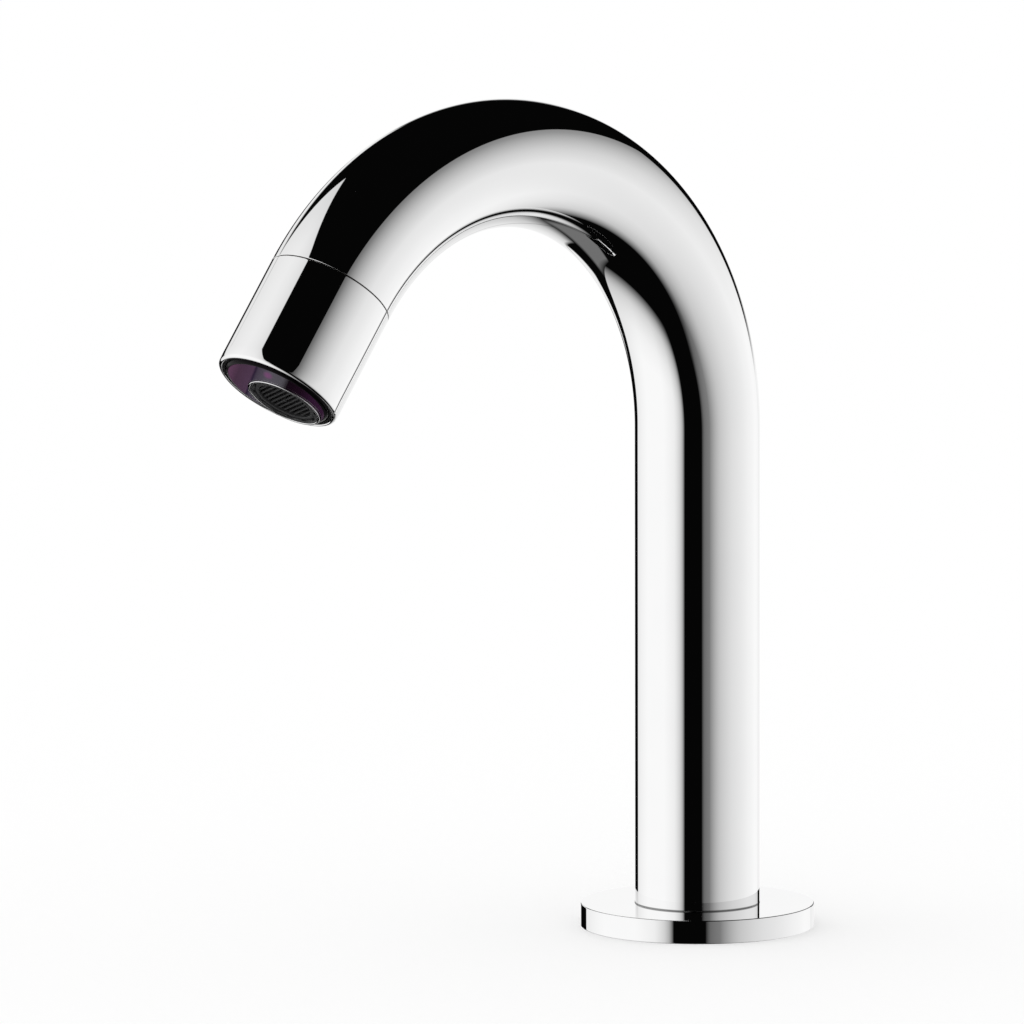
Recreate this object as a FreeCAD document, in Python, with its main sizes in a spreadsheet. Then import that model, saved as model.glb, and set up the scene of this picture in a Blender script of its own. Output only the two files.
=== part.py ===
"""Deck-mounted sensor tap: swan-neck spout, sensor head in the mouth and screw-in aerator.

Millimetres. Spout points to -Y, +Z is up, origin on the deck at the tube's axis.
Every size is a named cell of the sheet "Sizes"; everything else is bound to those cells.
"""
import FreeCAD
import Part
import math
import os
import Sketcher

V = FreeCAD.Vector
doc = FreeCAD.newDocument("SensorTap")

# ---------------------------------------------------------------- driving sizes
sheet = doc.addObject("Spreadsheet::Sheet", "Sizes")

SIZES = [
    # spout tube
    ("tube_od", 32.0), ("tube_wall", 1.5), ("leg_top", 129.0), ("bend_radius", 71.0),
    ("bend_turn", 143.0),
    # base flange, its gasket and ring seal
    ("flange_od", 60.0), ("flange_thick", 6.0), ("flange_edge", 0.4), ("tube_seat", 3.0),
    ("flange_ledge", 3.0), ("gasket_inset", 3.2), ("gasket_thick", 1.2), ("rim_cord", 1.2),
    ("rim_seal_up", 4.4),
    # plug brazed in the foot
    ("insert_tall", 19.0), ("insert_edge", 0.6), ("boss_gap", 0.1), ("inlet_bore", 8.9),
    ("inlet_deep", 10.0),
    ("port_bore", 6.0), ("port_wide", 10.0), ("port_deep", 6.0), ("stud_bore", 5.0),
    ("stud_deep", 14.0), ("stud_margin", 0.9), ("cable_margin", 0.65),
    # water way
    ("hose_od", 9.0), ("hose_bore", 6.2), ("ferrule_wall", 0.5), ("ferrule_long", 7.0),
    ("nipple_hex", 12.0), ("nipple_head", 3.0), ("barb_bore", 4.4), ("barb_step", 3.0),
    ("barb_drop", 0.55), ("washer_thick", 1.0), ("hose_gap", 0.5), ("ferrule_gap", 1.0),
    # cable
    ("cable_od", 4.0), ("gland_od", 6.4), ("gland_long", 9.0), ("gland_lip", 8.0),
    ("gland_lip_thick", 1.2), ("cable_start", 0.2),
    # head sleeve and the joint to the spout
    ("head_long", 29.5), ("sleeve_wall", 1.2), ("lip_break", 0.3), ("seam_gap", 0.25),
    ("seam_deep", 0.3), ("spigot_in", 9.0), ("spigot_land", 2.0), ("spigot_lead", 0.85),
    ("spigot_out", 9.0), ("spigot_wall", 1.95),
    ("neck_cord", 1.15), ("neck_seal_up", 7.2), ("screw_od", 3.0), ("screw_up", 3.2),
    ("screw_long", 3.1), ("screw_sunk", 0.3), ("screw_socket", 1.5), ("screw_socket_deep", 1.4),
    # sensor carrier, board and optics
    ("pocket_deep", 3.8), ("pocket_wall", 1.3), ("board_thick", 1.0),
    ("board_low", 3.0), ("diode_od", 3.0), ("lens_gap", 0.45), ("diode_gap", 10.0),
    ("diode_edge", 2.6), ("lens_round", 1.25), ("baffle_thick", 1.8), ("baffle_gap", 0.4),
    # window in the mouth
    ("seal_wall", 0.75), ("seal_sunk", 0.3), ("window_tall", 5.5), ("window_thick", 2.6),
    ("window_skirt", 1.0), ("window_proud", 0.25), ("window_crown", 0.6), ("window_round", 1.2),
    ("sensor_strip", 7.9), ("outlet_margin", 0.7),
    # outlet nozzle
    ("collar_wall", 0.55), ("collar_proud", 1.0), ("collar_web", 2.0),
    ("collar_long", 13.5), ("stem_out", 0.25), ("stem_od", 10.4), ("stem_bore", 5.2),
    ("bore_cone", 2.0),
    # aerator cartridge
    ("cartridge_wall", 1.05), ("cartridge_sunk", 0.3), ("cartridge_gasket", 1.0),
    ("cartridge_ledge", 1.83), ("cartridge_lip", 1.0), ("key_slots", 12.0), ("key_wide", 1.5),
    ("key_deep", 1.6),
    ("key_wall", 0.45), ("screen_thick", 0.3), ("screen_rise", 1.3), ("screen_inset", 0.4),
    ("regulator_thick", 2.0),
    ("channel_in", 4.6), ("channel_out", 9.4), ("channel_deep", 1.4), ("regulator_cord", 1.32),
    ("meter_bore", 1.0),
    ("meter_count", 6.0), ("jet_thick", 1.2), ("jet_bore", 1.2), ("jet_circle", 10.0),
    ("jet_count", 12.0), ("grid_tall", 2.4), ("grid_sunk", 0.25), ("grid_ring", 1.0),
    ("slat_count", 11.0), ("slat_pitch", 1.22), ("slat_thick", 0.5), ("slat_sunk", 0.4),
    ("slat_turn", 25.0), ("pin_od", 0.9), ("pin_proud", 0.3),
    # named clearances, all radial or face to face
    ("fit_braze", 0.05), ("fit_slide", 0.05), ("fit_thread", 0.07), ("fit_soft", 0.05),
    ("fit_loose", 0.1), ("fit_screw", 0.05), ("cut_over", 0.5),
]
for row, (alias, value) in enumerate(SIZES, start=1):
    sheet.set("A%d" % row, alias)
    sheet.set("B%d" % row, str(value))
    sheet.setAlias("B%d" % row, alias)
doc.recompute()


class Dim:
    """A size as both its present value and the sheet expression that gives it."""

    def __init__(self, value, text):
        self.value = float(value)
        self.text = text

    @staticmethod
    def of(other):
        if isinstance(other, Dim):
            return other
        return Dim(other, "(%r)" % float(other))

    def __add__(self, other):
        o = Dim.of(other)
        return Dim(self.value + o.value, "(%s + %s)" % (self.text, o.text))

    def __radd__(self, other):
        return Dim.of(other) + self

    def __sub__(self, other):
        o = Dim.of(other)
        return Dim(self.value - o.value, "(%s - %s)" % (self.text, o.text))

    def __rsub__(self, other):
        return Dim.of(other) - self

    def __mul__(self, other):
        o = Dim.of(other)
        return Dim(self.value * o.value, "(%s * %s)" % (self.text, o.text))

    def __rmul__(self, other):
        return Dim.of(other) * self

    def __truediv__(self, other):
        o = Dim.of(other)
        return Dim(self.value / o.value, "(%s / %s)" % (self.text, o.text))

    def __neg__(self):
        return Dim(-self.value, "(0 - %s)" % self.text)


def size(alias):
    return Dim(dict(SIZES)[alias], "Sizes.%s" % alias)


def sine(angle):
    return Dim(math.sin(math.radians(angle.value)), "sin(%s * 1 deg)" % angle.text)


def cosine(angle):
    return Dim(math.cos(math.radians(angle.value)), "cos(%s * 1 deg)" % angle.text)


ZERO = Dim(0.0, "0")
BARBS = 3
HEX_SIDES = 6
CORD_SIDES = 8


# ---------------------------------------------------------------- building helpers
def bind(obj, prop, dim):
    obj.setExpression(prop, dim.text)


def make_body(label, x=ZERO, y=ZERO, z=ZERO):
    """An upright body whose own origin stands at x, y, z."""
    body = doc.addObject("PartDesign::Body", label)
    body.Label = label
    bind(body, "Placement.Base.x", x)
    bind(body, "Placement.Base.y", y)
    bind(body, "Placement.Base.z", z)
    return body


def make_head_body(label, across=ZERO, along=ZERO, side=ZERO):
    """A body in the head's frame: its Z runs down the mouth, its Y away from the bend's centre."""
    turn = size("bend_turn")
    reach = size("bend_radius")
    end_y = reach * cosine(turn) - reach
    end_z = size("leg_top") + reach * sine(turn)
    body = make_body(
        label,
        side,
        end_y + across * cosine(turn) - along * sine(turn),
        end_z + across * sine(turn) + along * cosine(turn),
    )
    body.Placement.Rotation = FreeCAD.Rotation(V(1, 0, 0), turn.value)
    bind(body, "Placement.Rotation.Angle", turn)
    bind(body, "Placement.Rotation.Axis.x", Dim(1, "1"))
    bind(body, "Placement.Rotation.Axis.y", ZERO)
    bind(body, "Placement.Rotation.Axis.z", ZERO)
    return body


def origin_plane(body, role):
    for feature in body.Origin.OriginFeatures:
        if feature.Role == role:
            return feature
    raise ValueError("no plane %s" % role)


def make_sketch(body, name, role="XY_Plane", lift=None):
    sketch = body.newObject("Sketcher::SketchObject", "%s_%s" % (body.Name, name))
    sketch.AttachmentSupport = [(origin_plane(body, role), "")]
    sketch.MapMode = "FlatFace"
    if lift is not None:
        bind(sketch, "AttachmentOffset.Base.z", lift)
    return sketch


def pin_x(sketch, geo, point, dim):
    if dim is ZERO:
        sketch.addConstraint(Sketcher.Constraint("PointOnObject", geo, point, -2))
        return
    index = sketch.addConstraint(Sketcher.Constraint("DistanceX", -1, 1, geo, point, dim.value))
    bind(sketch, "Constraints[%d]" % index, dim)


def pin_y(sketch, geo, point, dim):
    if dim is ZERO:
        sketch.addConstraint(Sketcher.Constraint("PointOnObject", geo, point, -1))
        return
    index = sketch.addConstraint(Sketcher.Constraint("DistanceY", -1, 1, geo, point, dim.value))
    bind(sketch, "Constraints[%d]" % index, dim)


def add_circle(sketch, radius, x=ZERO, y=ZERO):
    geo = sketch.addGeometry(Part.Circle(V(x.value, y.value, 0), V(0, 0, 1), radius.value))
    pin_x(sketch, geo, 3, x)
    pin_y(sketch, geo, 3, y)
    index = sketch.addConstraint(Sketcher.Constraint("Radius", geo, radius.value))
    bind(sketch, "Constraints[%d]" % index, radius)
    return geo


def add_polygon(sketch, corners):
    """A closed outline of straight edges, each corner placed from the origin."""
    count = len(corners)
    for i in range(count):
        a = corners[i]
        b = corners[(i + 1) % count]
        sketch.addGeometry(Part.LineSegment(V(a[0].value, a[1].value, 0), V(b[0].value, b[1].value, 0)))
    for i in range(count):
        sketch.addConstraint(Sketcher.Constraint("Coincident", i, 2, (i + 1) % count, 1))
        pin_x(sketch, i, 1, corners[i][0])
        pin_y(sketch, i, 1, corners[i][1])


def add_box(sketch, x0, x1, y0, y1):
    add_polygon(sketch, [(x0, y0), (x1, y0), (x1, y1), (x0, y1)])


def pad(body, sketch, length, name="Pad"):
    feature = body.newObject("PartDesign::Pad", "%s_%s" % (body.Name, name))
    feature.Profile = sketch
    feature.Length = length.value
    bind(feature, "Length", length)
    sketch.Visibility = False
    body.Tip = feature
    return feature


def pocket(body, sketch, length=None, upward=False, name="Pocket"):
    """Cuts down from the sketch, or up when upward; through everything when no length is given."""
    feature = body.newObject("PartDesign::Pocket", "%s_%s" % (body.Name, name))
    feature.Profile = sketch
    if length is None:
        feature.Type = "ThroughAll"
        feature.Midplane = True
    else:
        feature.Length = length.value
        bind(feature, "Length", length)
    feature.Reversed = upward
    sketch.Visibility = False
    body.Tip = feature
    return feature


def revolve(body, sketch, name="Turned"):
    feature = body.newObject("PartDesign::Revolution", "%s_%s" % (body.Name, name))
    feature.Profile = sketch
    feature.ReferenceAxis = (sketch, ["V_Axis"])
    feature.Angle = 360.0
    sketch.Visibility = False
    body.Tip = feature
    return feature


def groove(body, sketch, name="Groove"):
    feature = body.newObject("PartDesign::Groove", "%s_%s" % (body.Name, name))
    feature.Profile = sketch
    feature.ReferenceAxis = (sketch, ["V_Axis"])
    feature.Angle = 360.0
    sketch.Visibility = False
    body.Tip = feature
    return feature


def around(body, feature, count, name="Round"):
    """Repeats a feature evenly about the body's own axis."""
    pattern = body.newObject("PartDesign::PolarPattern", "%s_%s" % (body.Name, name))
    pattern.Originals = [feature]
    pattern.Axis = (feature.Profile[0], ["N_Axis"])
    pattern.Angle = 360.0
    pattern.Occurrences = int(count.value)
    bind(pattern, "Occurrences", count)
    body.Tip = pattern
    return pattern


def edge_break(body, kind, amount, wanted, name):
    """Rounds or chamfers the circular edges that wanted(radius, height) accepts."""
    doc.recompute()
    base = body.Tip
    names = []
    for i, edge in enumerate(base.Shape.Edges, start=1):
        curve = edge.Curve
        if isinstance(curve, Part.Circle) and wanted(curve.Radius, curve.Center.z):
            names.append("Edge%d" % i)
    feature = body.newObject("PartDesign::%s" % kind, "%s_%s" % (body.Name, name))
    feature.Base = (base, names)
    prop = "Radius" if kind == "Fillet" else "Size"
    setattr(feature, prop, amount.value)
    bind(feature, prop, amount)
    base.Visibility = False
    body.Tip = feature
    return feature


def turned(body, corners, name="Section"):
    """A turned piece: the outline is radius against height on the body's own XZ plane."""
    sketch = make_sketch(body, name, "XZ_Plane")
    add_polygon(sketch, corners)
    return revolve(body, sketch)


def corner_angle(index, sides):
    """Direction of a regular polygon's corner, with one flat facing +X."""
    return Dim(360.0 / sides * (index + 0.5), "(360 / %d * %r)" % (sides, index + 0.5))


def even_polygon(sides, across, x=ZERO):
    """Corners of a regular polygon as wide as across between its flats, centred at x."""
    reach = across / 2 / cosine(corner_angle(0, sides))
    corners = []
    for i in range(sides):
        angle = corner_angle(i, sides)
        corners.append((x + reach * cosine(angle), reach * sine(angle)))
    return corners


def seal_ring(body, radius, cord):
    """A ring seal lying in the body's own XY plane, its cord drawn as an octagon."""
    return turned(body, even_polygon(CORD_SIDES, cord, radius), "Cord")


def near(a, b):
    return abs(a - b) < 1e-3


# ---------------------------------------------------------------- values used by several pieces
tube_r = size("tube_od") / 2
tube_bore_r = tube_r - size("tube_wall")
leg_top = size("leg_top")
bend_r = size("bend_radius")
bend_turn = size("bend_turn")
seat_z = size("tube_seat")
insert_r = tube_bore_r - size("fit_braze")
insert_top = seat_z + size("insert_tall")
sleeve_r = tube_r
sleeve_bore_r = sleeve_r - size("sleeve_wall")
head_end = size("head_long")
sleeve_from = size("seam_gap")
spigot_end = sleeve_from + size("spigot_out")
carrier_from = spigot_end
window_edge = head_end + size("window_proud")
window_back = window_edge - size("window_thick")
carrier_end = window_edge - size("window_tall")
carrier_long = carrier_end - carrier_from
flange_hole_r = tube_r - size("flange_ledge")
gasket_r = size("flange_od") / 2 - size("gasket_inset")
boss_r = flange_hole_r - size("boss_gap")
gland_way_r = size("gland_od") / 2 + size("fit_soft")
stud_x = boss_r - size("stud_margin") - size("stud_bore") / 2
cable_y = boss_r - size("cable_margin") - gland_way_r
cable_r = size("cable_od") / 2
hose_r = size("hose_od") / 2
hose_bore_r = size("hose_bore") / 2
barb_r = hose_bore_r - size("fit_soft")
window_r = sleeve_bore_r - size("seal_wall") - size("fit_soft")
collar_r = window_r - (size("sensor_strip") + size("outlet_margin")) / 2
outlet_y = (size("outlet_margin") - size("sensor_strip")) / 2
collar_bore_r = collar_r - size("collar_wall")
collar_end = head_end + size("collar_proud")
nozzle_from = collar_end - size("collar_long")
stem_from = carrier_from - size("stem_out")
hose_until = stem_from - size("hose_gap")
web_end = nozzle_from + size("collar_web")
cartridge_r = collar_bore_r - size("fit_thread")
cartridge_bore_r = cartridge_r - size("cartridge_wall")
cartridge_inlet_r = cartridge_bore_r - size("cartridge_ledge")
cartridge_from = web_end + size("cartridge_gasket")
cartridge_end = collar_end - size("cartridge_sunk")
core_r = cartridge_bore_r - size("fit_slide")


# ---------------------------------------------------------------- spout tube
def build_spout_tube():
    body = make_body("spout_tube")
    foot = make_sketch(body, "Foot", "XY_Plane", seat_z)
    add_circle(foot, tube_r)
    add_circle(foot, tube_bore_r)
    pad(body, foot, leg_top - seat_z, "Leg")
    neck = make_sketch(body, "Neck", "XY_Plane", leg_top)
    add_circle(neck, tube_r)
    add_circle(neck, tube_bore_r)
    left = V(-tube_r.value, -bend_r.value, 0)
    right = V(tube_r.value, -bend_r.value, 0)
    axis = neck.addGeometry(Part.LineSegment(left, right), True)
    neck.addConstraint(Sketcher.Constraint("Horizontal", axis))
    pin_y(neck, axis, 1, -bend_r)
    pin_x(neck, axis, 1, -tube_r)
    pin_x(neck, axis, 2, tube_r)
    bend = body.newObject("PartDesign::Revolution", "spout_tube_Bend")
    bend.Profile = neck
    bend.ReferenceAxis = (neck, ["Axis0"])
    bend.Angle = bend_turn.value
    bind(bend, "Angle", bend_turn)
    neck.Visibility = False
    body.Tip = bend
    return body


# ---------------------------------------------------------------- base
def build_base_flange():
    body = make_body("base_flange")
    outer = size("flange_od") / 2
    bore = tube_r + size("fit_slide")
    turned(body, [
        (flange_hole_r, size("gasket_thick")),
        (gasket_r + size("fit_soft"), size("gasket_thick")),
        (gasket_r + size("fit_soft"), ZERO),
        (outer, ZERO),
        (outer, size("flange_thick")),
        (bore, size("flange_thick")),
        (bore, seat_z),
        (flange_hole_r, seat_z),
    ])
    ring = make_sketch(body, "SealGroove", "XZ_Plane")
    half = size("rim_cord") / 2 + size("fit_loose")
    add_box(ring, bore - size("cut_over"), bore + size("rim_cord") + size("fit_soft"),
            size("rim_seal_up") - half, size("rim_seal_up") + half)
    groove(body, ring)
    edge_break(body, "Chamfer", size("flange_edge"),
               lambda r, z: near(r, outer.value), "Edge")
    return body


def build_flange_seal():
    body = make_body("flange_o_ring", z=size("rim_seal_up"))
    seal_ring(body, tube_r + size("fit_soft") + size("rim_cord") / 2, size("rim_cord"))
    return body


def build_deck_gasket():
    body = make_body("deck_gasket")
    sketch = make_sketch(body, "Ring")
    add_circle(sketch, gasket_r)
    add_circle(sketch, flange_hole_r)
    pad(body, sketch, size("gasket_thick"))
    return body


def build_base_insert():
    """Brass plug brazed in the tube's foot; its boss fills the flange's hole down to the deck."""
    body = make_body("base_insert")
    turned(body, [
        (ZERO, ZERO),
        (boss_r, ZERO),
        (boss_r, seat_z),
        (insert_r, seat_z),
        (insert_r, insert_top),
        (ZERO, insert_top),
    ])
    inlet = make_sketch(body, "Inlet")
    add_circle(inlet, size("inlet_bore") / 2, ZERO, outlet_y)
    pocket(body, inlet, size("inlet_deep"), True, "Inlet")
    way = make_sketch(body, "Way")
    add_circle(way, size("port_bore") / 2, ZERO, outlet_y)
    pocket(body, way, None, False, "Way")
    port = make_sketch(body, "Port", "XY_Plane", insert_top)
    add_circle(port, size("port_wide") / 2, ZERO, outlet_y)
    pocket(body, port, size("port_deep"), False, "Port")
    studs = make_sketch(body, "Studs")
    add_circle(studs, size("stud_bore") / 2, stud_x, ZERO)
    add_circle(studs, size("stud_bore") / 2, -stud_x, ZERO)
    pocket(body, studs, size("stud_deep"), True, "Studs")
    cable = make_sketch(body, "CableWay")
    add_circle(cable, gland_way_r, ZERO, cable_y)
    pocket(body, cable, None, False, "CableWay")
    edge_break(body, "Chamfer", size("insert_edge"),
               lambda r, z: near(r, insert_r.value) and near(z, insert_top.value), "Lead")
    return body


def barb_profile(start, step, count, root_drop):
    """Outline of the saw-tooth hose barbs from start upward, thick end low."""
    corners = []
    level = start
    for _ in range(count):
        corners.append((barb_r, level))
        corners.append((barb_r - root_drop, level + step))
        level = level + step
    return corners


def build_inlet_washer():
    body = make_body("inlet_o_ring", y=outlet_y, z=insert_top - size("port_deep"))
    turned(body, [
        (size("port_bore") / 2 + size("fit_soft"), ZERO),
        (size("port_wide") / 2 - size("fit_soft"), ZERO),
        (size("port_wide") / 2 - size("fit_soft"), size("washer_thick")),
        (size("port_bore") / 2 + size("fit_soft"), size("washer_thick")),
    ])
    return body


def build_hose_nipple():
    """Screwed into the plug's upper port; its barbs carry the inner hose."""
    body = make_body("hose_nipple", y=outlet_y, z=insert_top - size("port_deep") + size("washer_thick"))
    thread_r = size("port_wide") / 2 - size("fit_screw")
    shank = size("port_deep") - size("washer_thick")
    head_top = shank + size("nipple_head")
    bore = size("barb_bore") / 2
    corners = [(bore, ZERO), (thread_r, ZERO), (thread_r, shank)]
    corners += [(size("nipple_hex") / 2, shank), (size("nipple_hex") / 2, head_top)]
    corners += barb_profile(head_top, size("barb_step"), BARBS, size("barb_drop"))
    corners += [(bore, head_top + size("barb_step") * BARBS)]
    turned(body, corners)
    flats = make_sketch(body, "Flats", "XY_Plane", head_top)
    across = size("nipple_hex") / 2 * cosine(corner_angle(0, HEX_SIDES))
    add_box(flats, across, size("nipple_hex"), -size("nipple_hex"), size("nipple_hex"))
    cut = pocket(body, flats, size("nipple_head"), False, "Flat")
    around(body, cut, Dim.of(HEX_SIDES), "Hex")
    return body


nipple_head_top = insert_top + size("nipple_head")
hose_from = nipple_head_top + size("hose_gap")


def build_route(body, from_z, offset, until, profile_radii):
    """A pipe up the leg, round the bend and down the head, kept offset from the tube's axis."""
    path = make_sketch(body, "Route", "YZ_Plane")
    radius = bend_r + offset
    turn = bend_turn.value
    cy = -bend_r.value
    cz = leg_top.value
    ey = cy + radius.value * math.cos(math.radians(turn))
    ez = cz + radius.value * math.sin(math.radians(turn))
    hy = ey - until.value * math.sin(math.radians(turn))
    hz = ez + until.value * math.cos(math.radians(turn))
    oy = offset.value
    path.addGeometry(Part.LineSegment(V(oy, from_z.value, 0), V(oy, cz, 0)))
    circle = Part.Circle(V(cy, cz, 0), V(0, 0, 1), radius.value)
    path.addGeometry(Part.ArcOfCircle(circle, 0.0, math.radians(turn)))
    path.addGeometry(Part.LineSegment(V(ey, ez, 0), V(hy, hz, 0)))
    path.addConstraint(Sketcher.Constraint("Coincident", 0, 2, 1, 1))
    path.addConstraint(Sketcher.Constraint("Coincident", 1, 2, 2, 1))
    pin_x(path, 1, 3, -bend_r)
    pin_y(path, 1, 3, leg_top)
    pin_x(path, 0, 1, offset)
    pin_y(path, 0, 1, from_z)
    pin_x(path, 0, 2, offset)
    pin_y(path, 0, 2, leg_top)
    pin_x(path, 1, 2, radius * cosine(bend_turn) - bend_r)
    pin_x(path, 2, 2, radius * cosine(bend_turn) - bend_r - until * sine(bend_turn))
    pin_y(path, 2, 2, leg_top + radius * sine(bend_turn) + until * cosine(bend_turn))
    end = make_sketch(body, "Section", "XY_Plane", from_z)
    for r in profile_radii:
        add_circle(end, r, ZERO, offset)
    pipe = body.newObject("PartDesign::AdditivePipe", "%s_Pipe" % body.Name)
    pipe.Profile = end
    pipe.Spine = (path, ["Edge1", "Edge2", "Edge3"])
    path.Visibility = False
    end.Visibility = False
    body.Tip = pipe
    return body


def build_water_hose():
    body = make_body("water_hose")
    return build_route(body, hose_from, outlet_y, hose_until, [hose_r, hose_bore_r])


def build_sensor_cable():
    body = make_body("sensor_cable")
    until = carrier_end - size("pocket_deep")
    return build_route(body, size("cable_start"), cable_y, until, [cable_r])


def ferrule(body):
    inner = hose_r + size("fit_soft")
    turned(body, [
        (inner, ZERO),
        (inner + size("ferrule_wall"), ZERO),
        (inner + size("ferrule_wall"), size("ferrule_long")),
        (inner, size("ferrule_long")),
    ])
    return body


def build_cable_gland():
    body = make_body("cable_gland", y=cable_y, z=insert_top + size("gland_lip_thick") - size("gland_long"))
    bore = cable_r + size("fit_soft")
    neck = size("gland_long") - size("gland_lip_thick")
    turned(body, [
        (bore, ZERO),
        (size("gland_od") / 2, ZERO),
        (size("gland_od") / 2, neck),
        (size("gland_lip") / 2, neck),
        (size("gland_lip") / 2, neck + size("gland_lip_thick") / 2),
        (size("gland_od") / 2, neck + size("gland_lip_thick")),
        (bore, neck + size("gland_lip_thick")),
    ])
    return body


# ---------------------------------------------------------------- head shell
def build_head_sleeve():
    body = make_head_body("head_sleeve")
    sketch = make_sketch(body, "Ring", "XY_Plane", sleeve_from)
    add_circle(sketch, sleeve_r)
    add_circle(sketch, sleeve_bore_r)
    pad(body, sketch, head_end - sleeve_from)
    hole = make_sketch(body, "ScrewHole", "XZ_Plane")
    add_circle(hole, size("screw_od") / 2 + size("fit_screw"), ZERO, size("screw_up"))
    pocket(body, hole, sleeve_r + size("cut_over"), True, "ScrewHole")
    edge_break(body, "Chamfer", size("lip_break"),
               lambda r, z: near(r, sleeve_r.value) and near(z, head_end.value), "Lip")
    return body


def build_neck_coupling():
    """Spigot brazed in the bend's end; the sleeve slips over it up to the hairline shoulder."""
    body = make_head_body("neck_coupling")
    low_r = tube_bore_r - size("fit_braze")
    high_r = sleeve_bore_r - size("fit_slide")
    shoulder_r = tube_r - size("seam_deep")
    bore = low_r - size("spigot_wall")
    turned(body, [
        (bore, -size("spigot_in")),
        (low_r - size("spigot_lead"), -size("spigot_in")),
        (low_r, -size("spigot_land")),
        (low_r, ZERO),
        (shoulder_r, ZERO),
        (shoulder_r, sleeve_from),
        (high_r, sleeve_from),
        (high_r, spigot_end),
        (bore, spigot_end),
    ])
    ring = make_sketch(body, "SealGroove", "XZ_Plane")
    half = size("neck_cord") / 2 + size("fit_loose")
    add_box(ring, sleeve_bore_r - size("fit_soft") * 2 - size("neck_cord"), high_r + size("cut_over"),
            size("neck_seal_up") - half, size("neck_seal_up") + half)
    groove(body, ring)
    tap = make_sketch(body, "ScrewHole", "XZ_Plane")
    add_circle(tap, size("screw_od") / 2 + size("fit_screw"), ZERO, size("screw_up"))
    pocket(body, tap, sleeve_r, True, "ScrewHole")
    return body


def build_neck_seal():
    body = make_head_body("neck_o_ring", along=size("neck_seal_up"))
    seal_ring(body, sleeve_bore_r - size("fit_soft") - size("neck_cord") / 2, size("neck_cord"))
    return body


def build_head_screw():
    """Socket grub screw on the underside that keeps the sleeve from turning."""
    body = make_head_body("head_screw", along=size("screw_up"))
    start = sleeve_r - size("screw_sunk")
    shank = make_sketch(body, "Shank", "XZ_Plane", start - size("screw_long"))
    add_circle(shank, size("screw_od") / 2)
    pad(body, shank, size("screw_long"))
    socket = make_sketch(body, "Socket", "XZ_Plane", start)
    add_polygon(socket, even_polygon(HEX_SIDES, size("screw_socket")))
    pocket(body, socket, size("screw_socket_deep"), False, "Socket")
    return body


# ---------------------------------------------------------------- sensor
def add_crescent(sketch, outer, inner, low):
    """Board outline: outer arc about the head's axis, inner arc about the outlet's axis."""
    a = math.asin(low.value / outer.value)
    b = math.asin((low.value - outlet_y.value) / inner.value)
    big = Part.Circle(V(0, 0, 0), V(0, 0, 1), outer.value)
    small = Part.Circle(V(0, outlet_y.value, 0), V(0, 0, 1), inner.value)
    sketch.addGeometry(Part.ArcOfCircle(big, a, math.pi - a))
    sketch.addGeometry(Part.ArcOfCircle(small, b, math.pi - b))
    ox = outer.value * math.cos(a)
    ix = inner.value * math.cos(b)
    sketch.addGeometry(Part.LineSegment(V(ix, low.value, 0), V(ox, low.value, 0)))
    sketch.addGeometry(Part.LineSegment(V(-ox, low.value, 0), V(-ix, low.value, 0)))
    sketch.addConstraint(Sketcher.Constraint("Coincident", 0, 3, -1, 1))
    sketch.addConstraint(Sketcher.Constraint("PointOnObject", 1, 3, -2))
    pin_y(sketch, 1, 3, outlet_y)
    index = sketch.addConstraint(Sketcher.Constraint("Radius", 0, outer.value))
    bind(sketch, "Constraints[%d]" % index, outer)
    index = sketch.addConstraint(Sketcher.Constraint("Radius", 1, inner.value))
    bind(sketch, "Constraints[%d]" % index, inner)
    sketch.addConstraint(Sketcher.Constraint("Coincident", 2, 2, 0, 1))
    sketch.addConstraint(Sketcher.Constraint("Coincident", 2, 1, 1, 1))
    sketch.addConstraint(Sketcher.Constraint("Coincident", 3, 1, 0, 2))
    sketch.addConstraint(Sketcher.Constraint("Coincident", 3, 2, 1, 2))
    for geo, point in ((2, 1), (2, 2), (3, 1), (3, 2)):
        pin_y(sketch, geo, point, low)


carrier_r = sleeve_bore_r - size("fit_loose")
pocket_outer = carrier_r - size("pocket_wall")
pocket_inner = collar_r + size("fit_loose") + size("pocket_wall")
pocket_floor = carrier_end - size("pocket_deep")
board_top = pocket_floor + size("board_thick")
diode_y = pocket_outer - size("diode_edge") - size("diode_od") / 2


def build_sensor_carrier():
    body = make_head_body("sensor_carrier", along=carrier_from)
    disc = make_sketch(body, "Disc")
    add_circle(disc, carrier_r)
    pad(body, disc, carrier_long)
    stem = make_sketch(body, "StemHole")
    add_circle(stem, size("stem_od") / 2 + size("fit_loose"), ZERO, outlet_y)
    pocket(body, stem, None, False, "StemHole")
    well = make_sketch(body, "OutletWell", "XY_Plane", carrier_long)
    add_circle(well, collar_r + size("fit_loose"), ZERO, outlet_y)
    pocket(body, well, carrier_end - nozzle_from, False, "OutletWell")
    tray = make_sketch(body, "BoardTray", "XY_Plane", carrier_long)
    add_crescent(tray, pocket_outer, pocket_inner, size("board_low"))
    pocket(body, tray, size("pocket_deep"), False, "BoardTray")
    cable = make_sketch(body, "CableHole")
    add_circle(cable, cable_r + size("fit_loose"), ZERO, cable_y)
    pocket(body, cable, carrier_long - size("pocket_deep") + size("cut_over"), True, "CableHole")
    return body


def build_sensor_board():
    body = make_head_body("sensor_board", along=pocket_floor)
    sketch = make_sketch(body, "Outline")
    gap = size("fit_loose")
    add_crescent(sketch, pocket_outer - gap, pocket_inner + gap, size("board_low") + gap)
    pad(body, sketch, size("board_thick"))
    return body


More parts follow.
